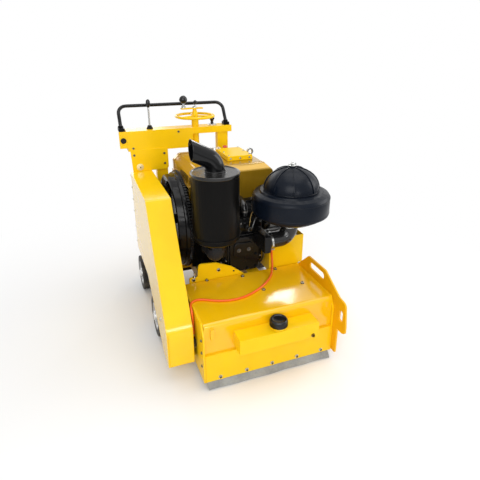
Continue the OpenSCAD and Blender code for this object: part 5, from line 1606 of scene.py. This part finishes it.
@dataclass
class OperatorStand:
    """The rear frame, the console and the controls."""

    shop: Workshop
    arm_z: float = 1023.0
    stem_from: float = 6.5
    grip_from: float = 23.0
    gear_knob_z: float = 1039.0
    throttle_plate_z: float = 936.0

    def is_grip(self, spot: Vector, normal: Vector) -> bool:
        """Tells whether a face belongs to the lock arm's black grips."""
        return spot.z > self.arm_z + self.grip_from

    def is_stem(self, spot: Vector, normal: Vector) -> bool:
        """Tells whether a face belongs to a bright stem on the lock arm."""
        return self.arm_z + self.stem_from < spot.z <= self.arm_z + self.grip_from

    def build(self) -> None:
        """Makes the operator's end."""
        shop = self.shop
        shop.dress(YELLOW, rear_frame=1.4, console=1.8, console_side_panel=1.0, depth_post=1.0,
                   handwheel=1.0)
        shop.soften("lock_arm", YELLOW, 0.8, others=[(KNOB, self.is_grip), (STEEL, self.is_stem)])
        shop.soften("handlebar", GLOSS_BLACK, 0.0, sharp=PIPE_SHARP)
        shop.dress(SATIN_BLACK, handlebar_clamps=0.8)
        shop.soften("gear_lever", STEEL, 0.6,
                    others=[(KNOB, lambda spot, normal: spot.z > self.gear_knob_z)])
        shop.soften("throttle_lever", KNOB, 0.8,
                    others=[(STEEL, lambda spot, normal: spot.z < self.throttle_plate_z)])
        self.build_front()
        self.build_controls()

    def build_front(self) -> None:
        """Seats what shows on the console's front: the grommet, bolts and the bare disc."""
        shop = self.shop
        grommet = [(0, -3), (8.6, -3), (8.6, -1), (13, -1), (14.5, 1), (14, 3.5), (10, 5), (5, 4), (0, 4)]
        shop.lathe("wing_grommet", grommet, (-446, 868, 884), FRONT, BELT, 32)
        shop.bolts("console_front_bolts", [(-160, 866, 914), (-400, 866, 842)], FRONT, CAST_STEEL,
                   Bolt(3.6, 2.0, 5.5))
        shop.lathe("panel_disc", [
            (0, 0), (17, 0), (18, 1), (18, 2.4), (16, 3), (0, 3)], (-375, 862, 742), FRONT, BARE_DISC, 40)
        shop.bolts("panel_disc_pin", [(-375, 859, 742)], FRONT, STEEL, Bolt(4.0, 1.6, 6.0, 16))
        shop.bolts("panel_bolts", [(-243, 862, 752), (-243, 862, 806), (-400, 862, 806)], FRONT,
                   CAST_STEEL, Bolt(4.0, 3.0, 6.0))
        shop.weld("console_weld", [(-81, 871, 897), (-81, 871, 929)], 1.8)

    def build_controls(self) -> None:
        """Makes the collars, sleeves and small parts of the controls."""
        shop = self.shop
        for k, (x, y) in enumerate(((-450, 906), (116, 906))):
            shop.bolts(f"clamp_bolts_{k}", [(x + a, y + 12, 946) for a in (-9, 9)], UP, ZINC,
                       Bolt(4.0, 4.0, 5.0))
            shop.lathe(f"bar_collar_{k}", [
                (9, 0), (13, 0), (13, 9), (11, 11), (9, 11)], (x, y, 945), UP, SATIN_BLACK, 32)
        shop.lathe("lever_boot", [(5, 0), (17, 0), (18, 3), (14, 6), (15, 9), (11, 12), (12, 15), (8, 19),
                                  (5, 19)], (-302, 910, 930), UP, BELT, 36)
        shop.lathe("throttle_ring", [
            (20, -0.2), (26, -0.2), (26, 1.8), (24, 2.6), (20, 2.6)], (44, 926, 930), UP, STEEL, 40)
        shop.bolts("post_nut", [(-59, 900, 1029)], UP, ZINC, Bolt(11.0, 5.0, 13.0))
        ring = [(x, y, 993) for x, y in circle(3, 12.5, (-59, 900))]
        shop.bolts("wheel_hub_screws", ring, UP, ZINC, Bolt(2.2, 2.0, 2.8))
        shop.lathe("plunger_collar", [
            (7, 0), (11, 0), (11, 12), (9, 14), (7, 14)], (-119, 900, 1028.5), UP, ZINC, 32)


def main() -> None:
    """Builds the scene: camera and hose first, then each sub-assembly in order."""
    Camera().build()
    shop = Workshop()
    water = SprayWater(shop)
    water.build_hose()
    Studio().build()
    others = (Housing, MillingDrum, BeltDrive, Engine, Exhaust, Intake, FuelSystem, BatteryTray,
              RunningGear, OperatorStand)
    for assembly in (water, *(kind(shop) for kind in others)):
        log.info("building %s", type(assembly).__name__)
        assembly.build()


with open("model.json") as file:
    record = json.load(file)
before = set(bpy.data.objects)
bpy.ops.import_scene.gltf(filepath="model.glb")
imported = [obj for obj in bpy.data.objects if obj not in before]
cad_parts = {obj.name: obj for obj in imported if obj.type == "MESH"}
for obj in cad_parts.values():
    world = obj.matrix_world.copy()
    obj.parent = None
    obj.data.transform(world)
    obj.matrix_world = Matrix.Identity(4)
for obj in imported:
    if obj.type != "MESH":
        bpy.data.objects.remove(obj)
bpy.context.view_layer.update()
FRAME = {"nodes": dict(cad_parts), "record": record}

if __name__ == "__main__":
    main()
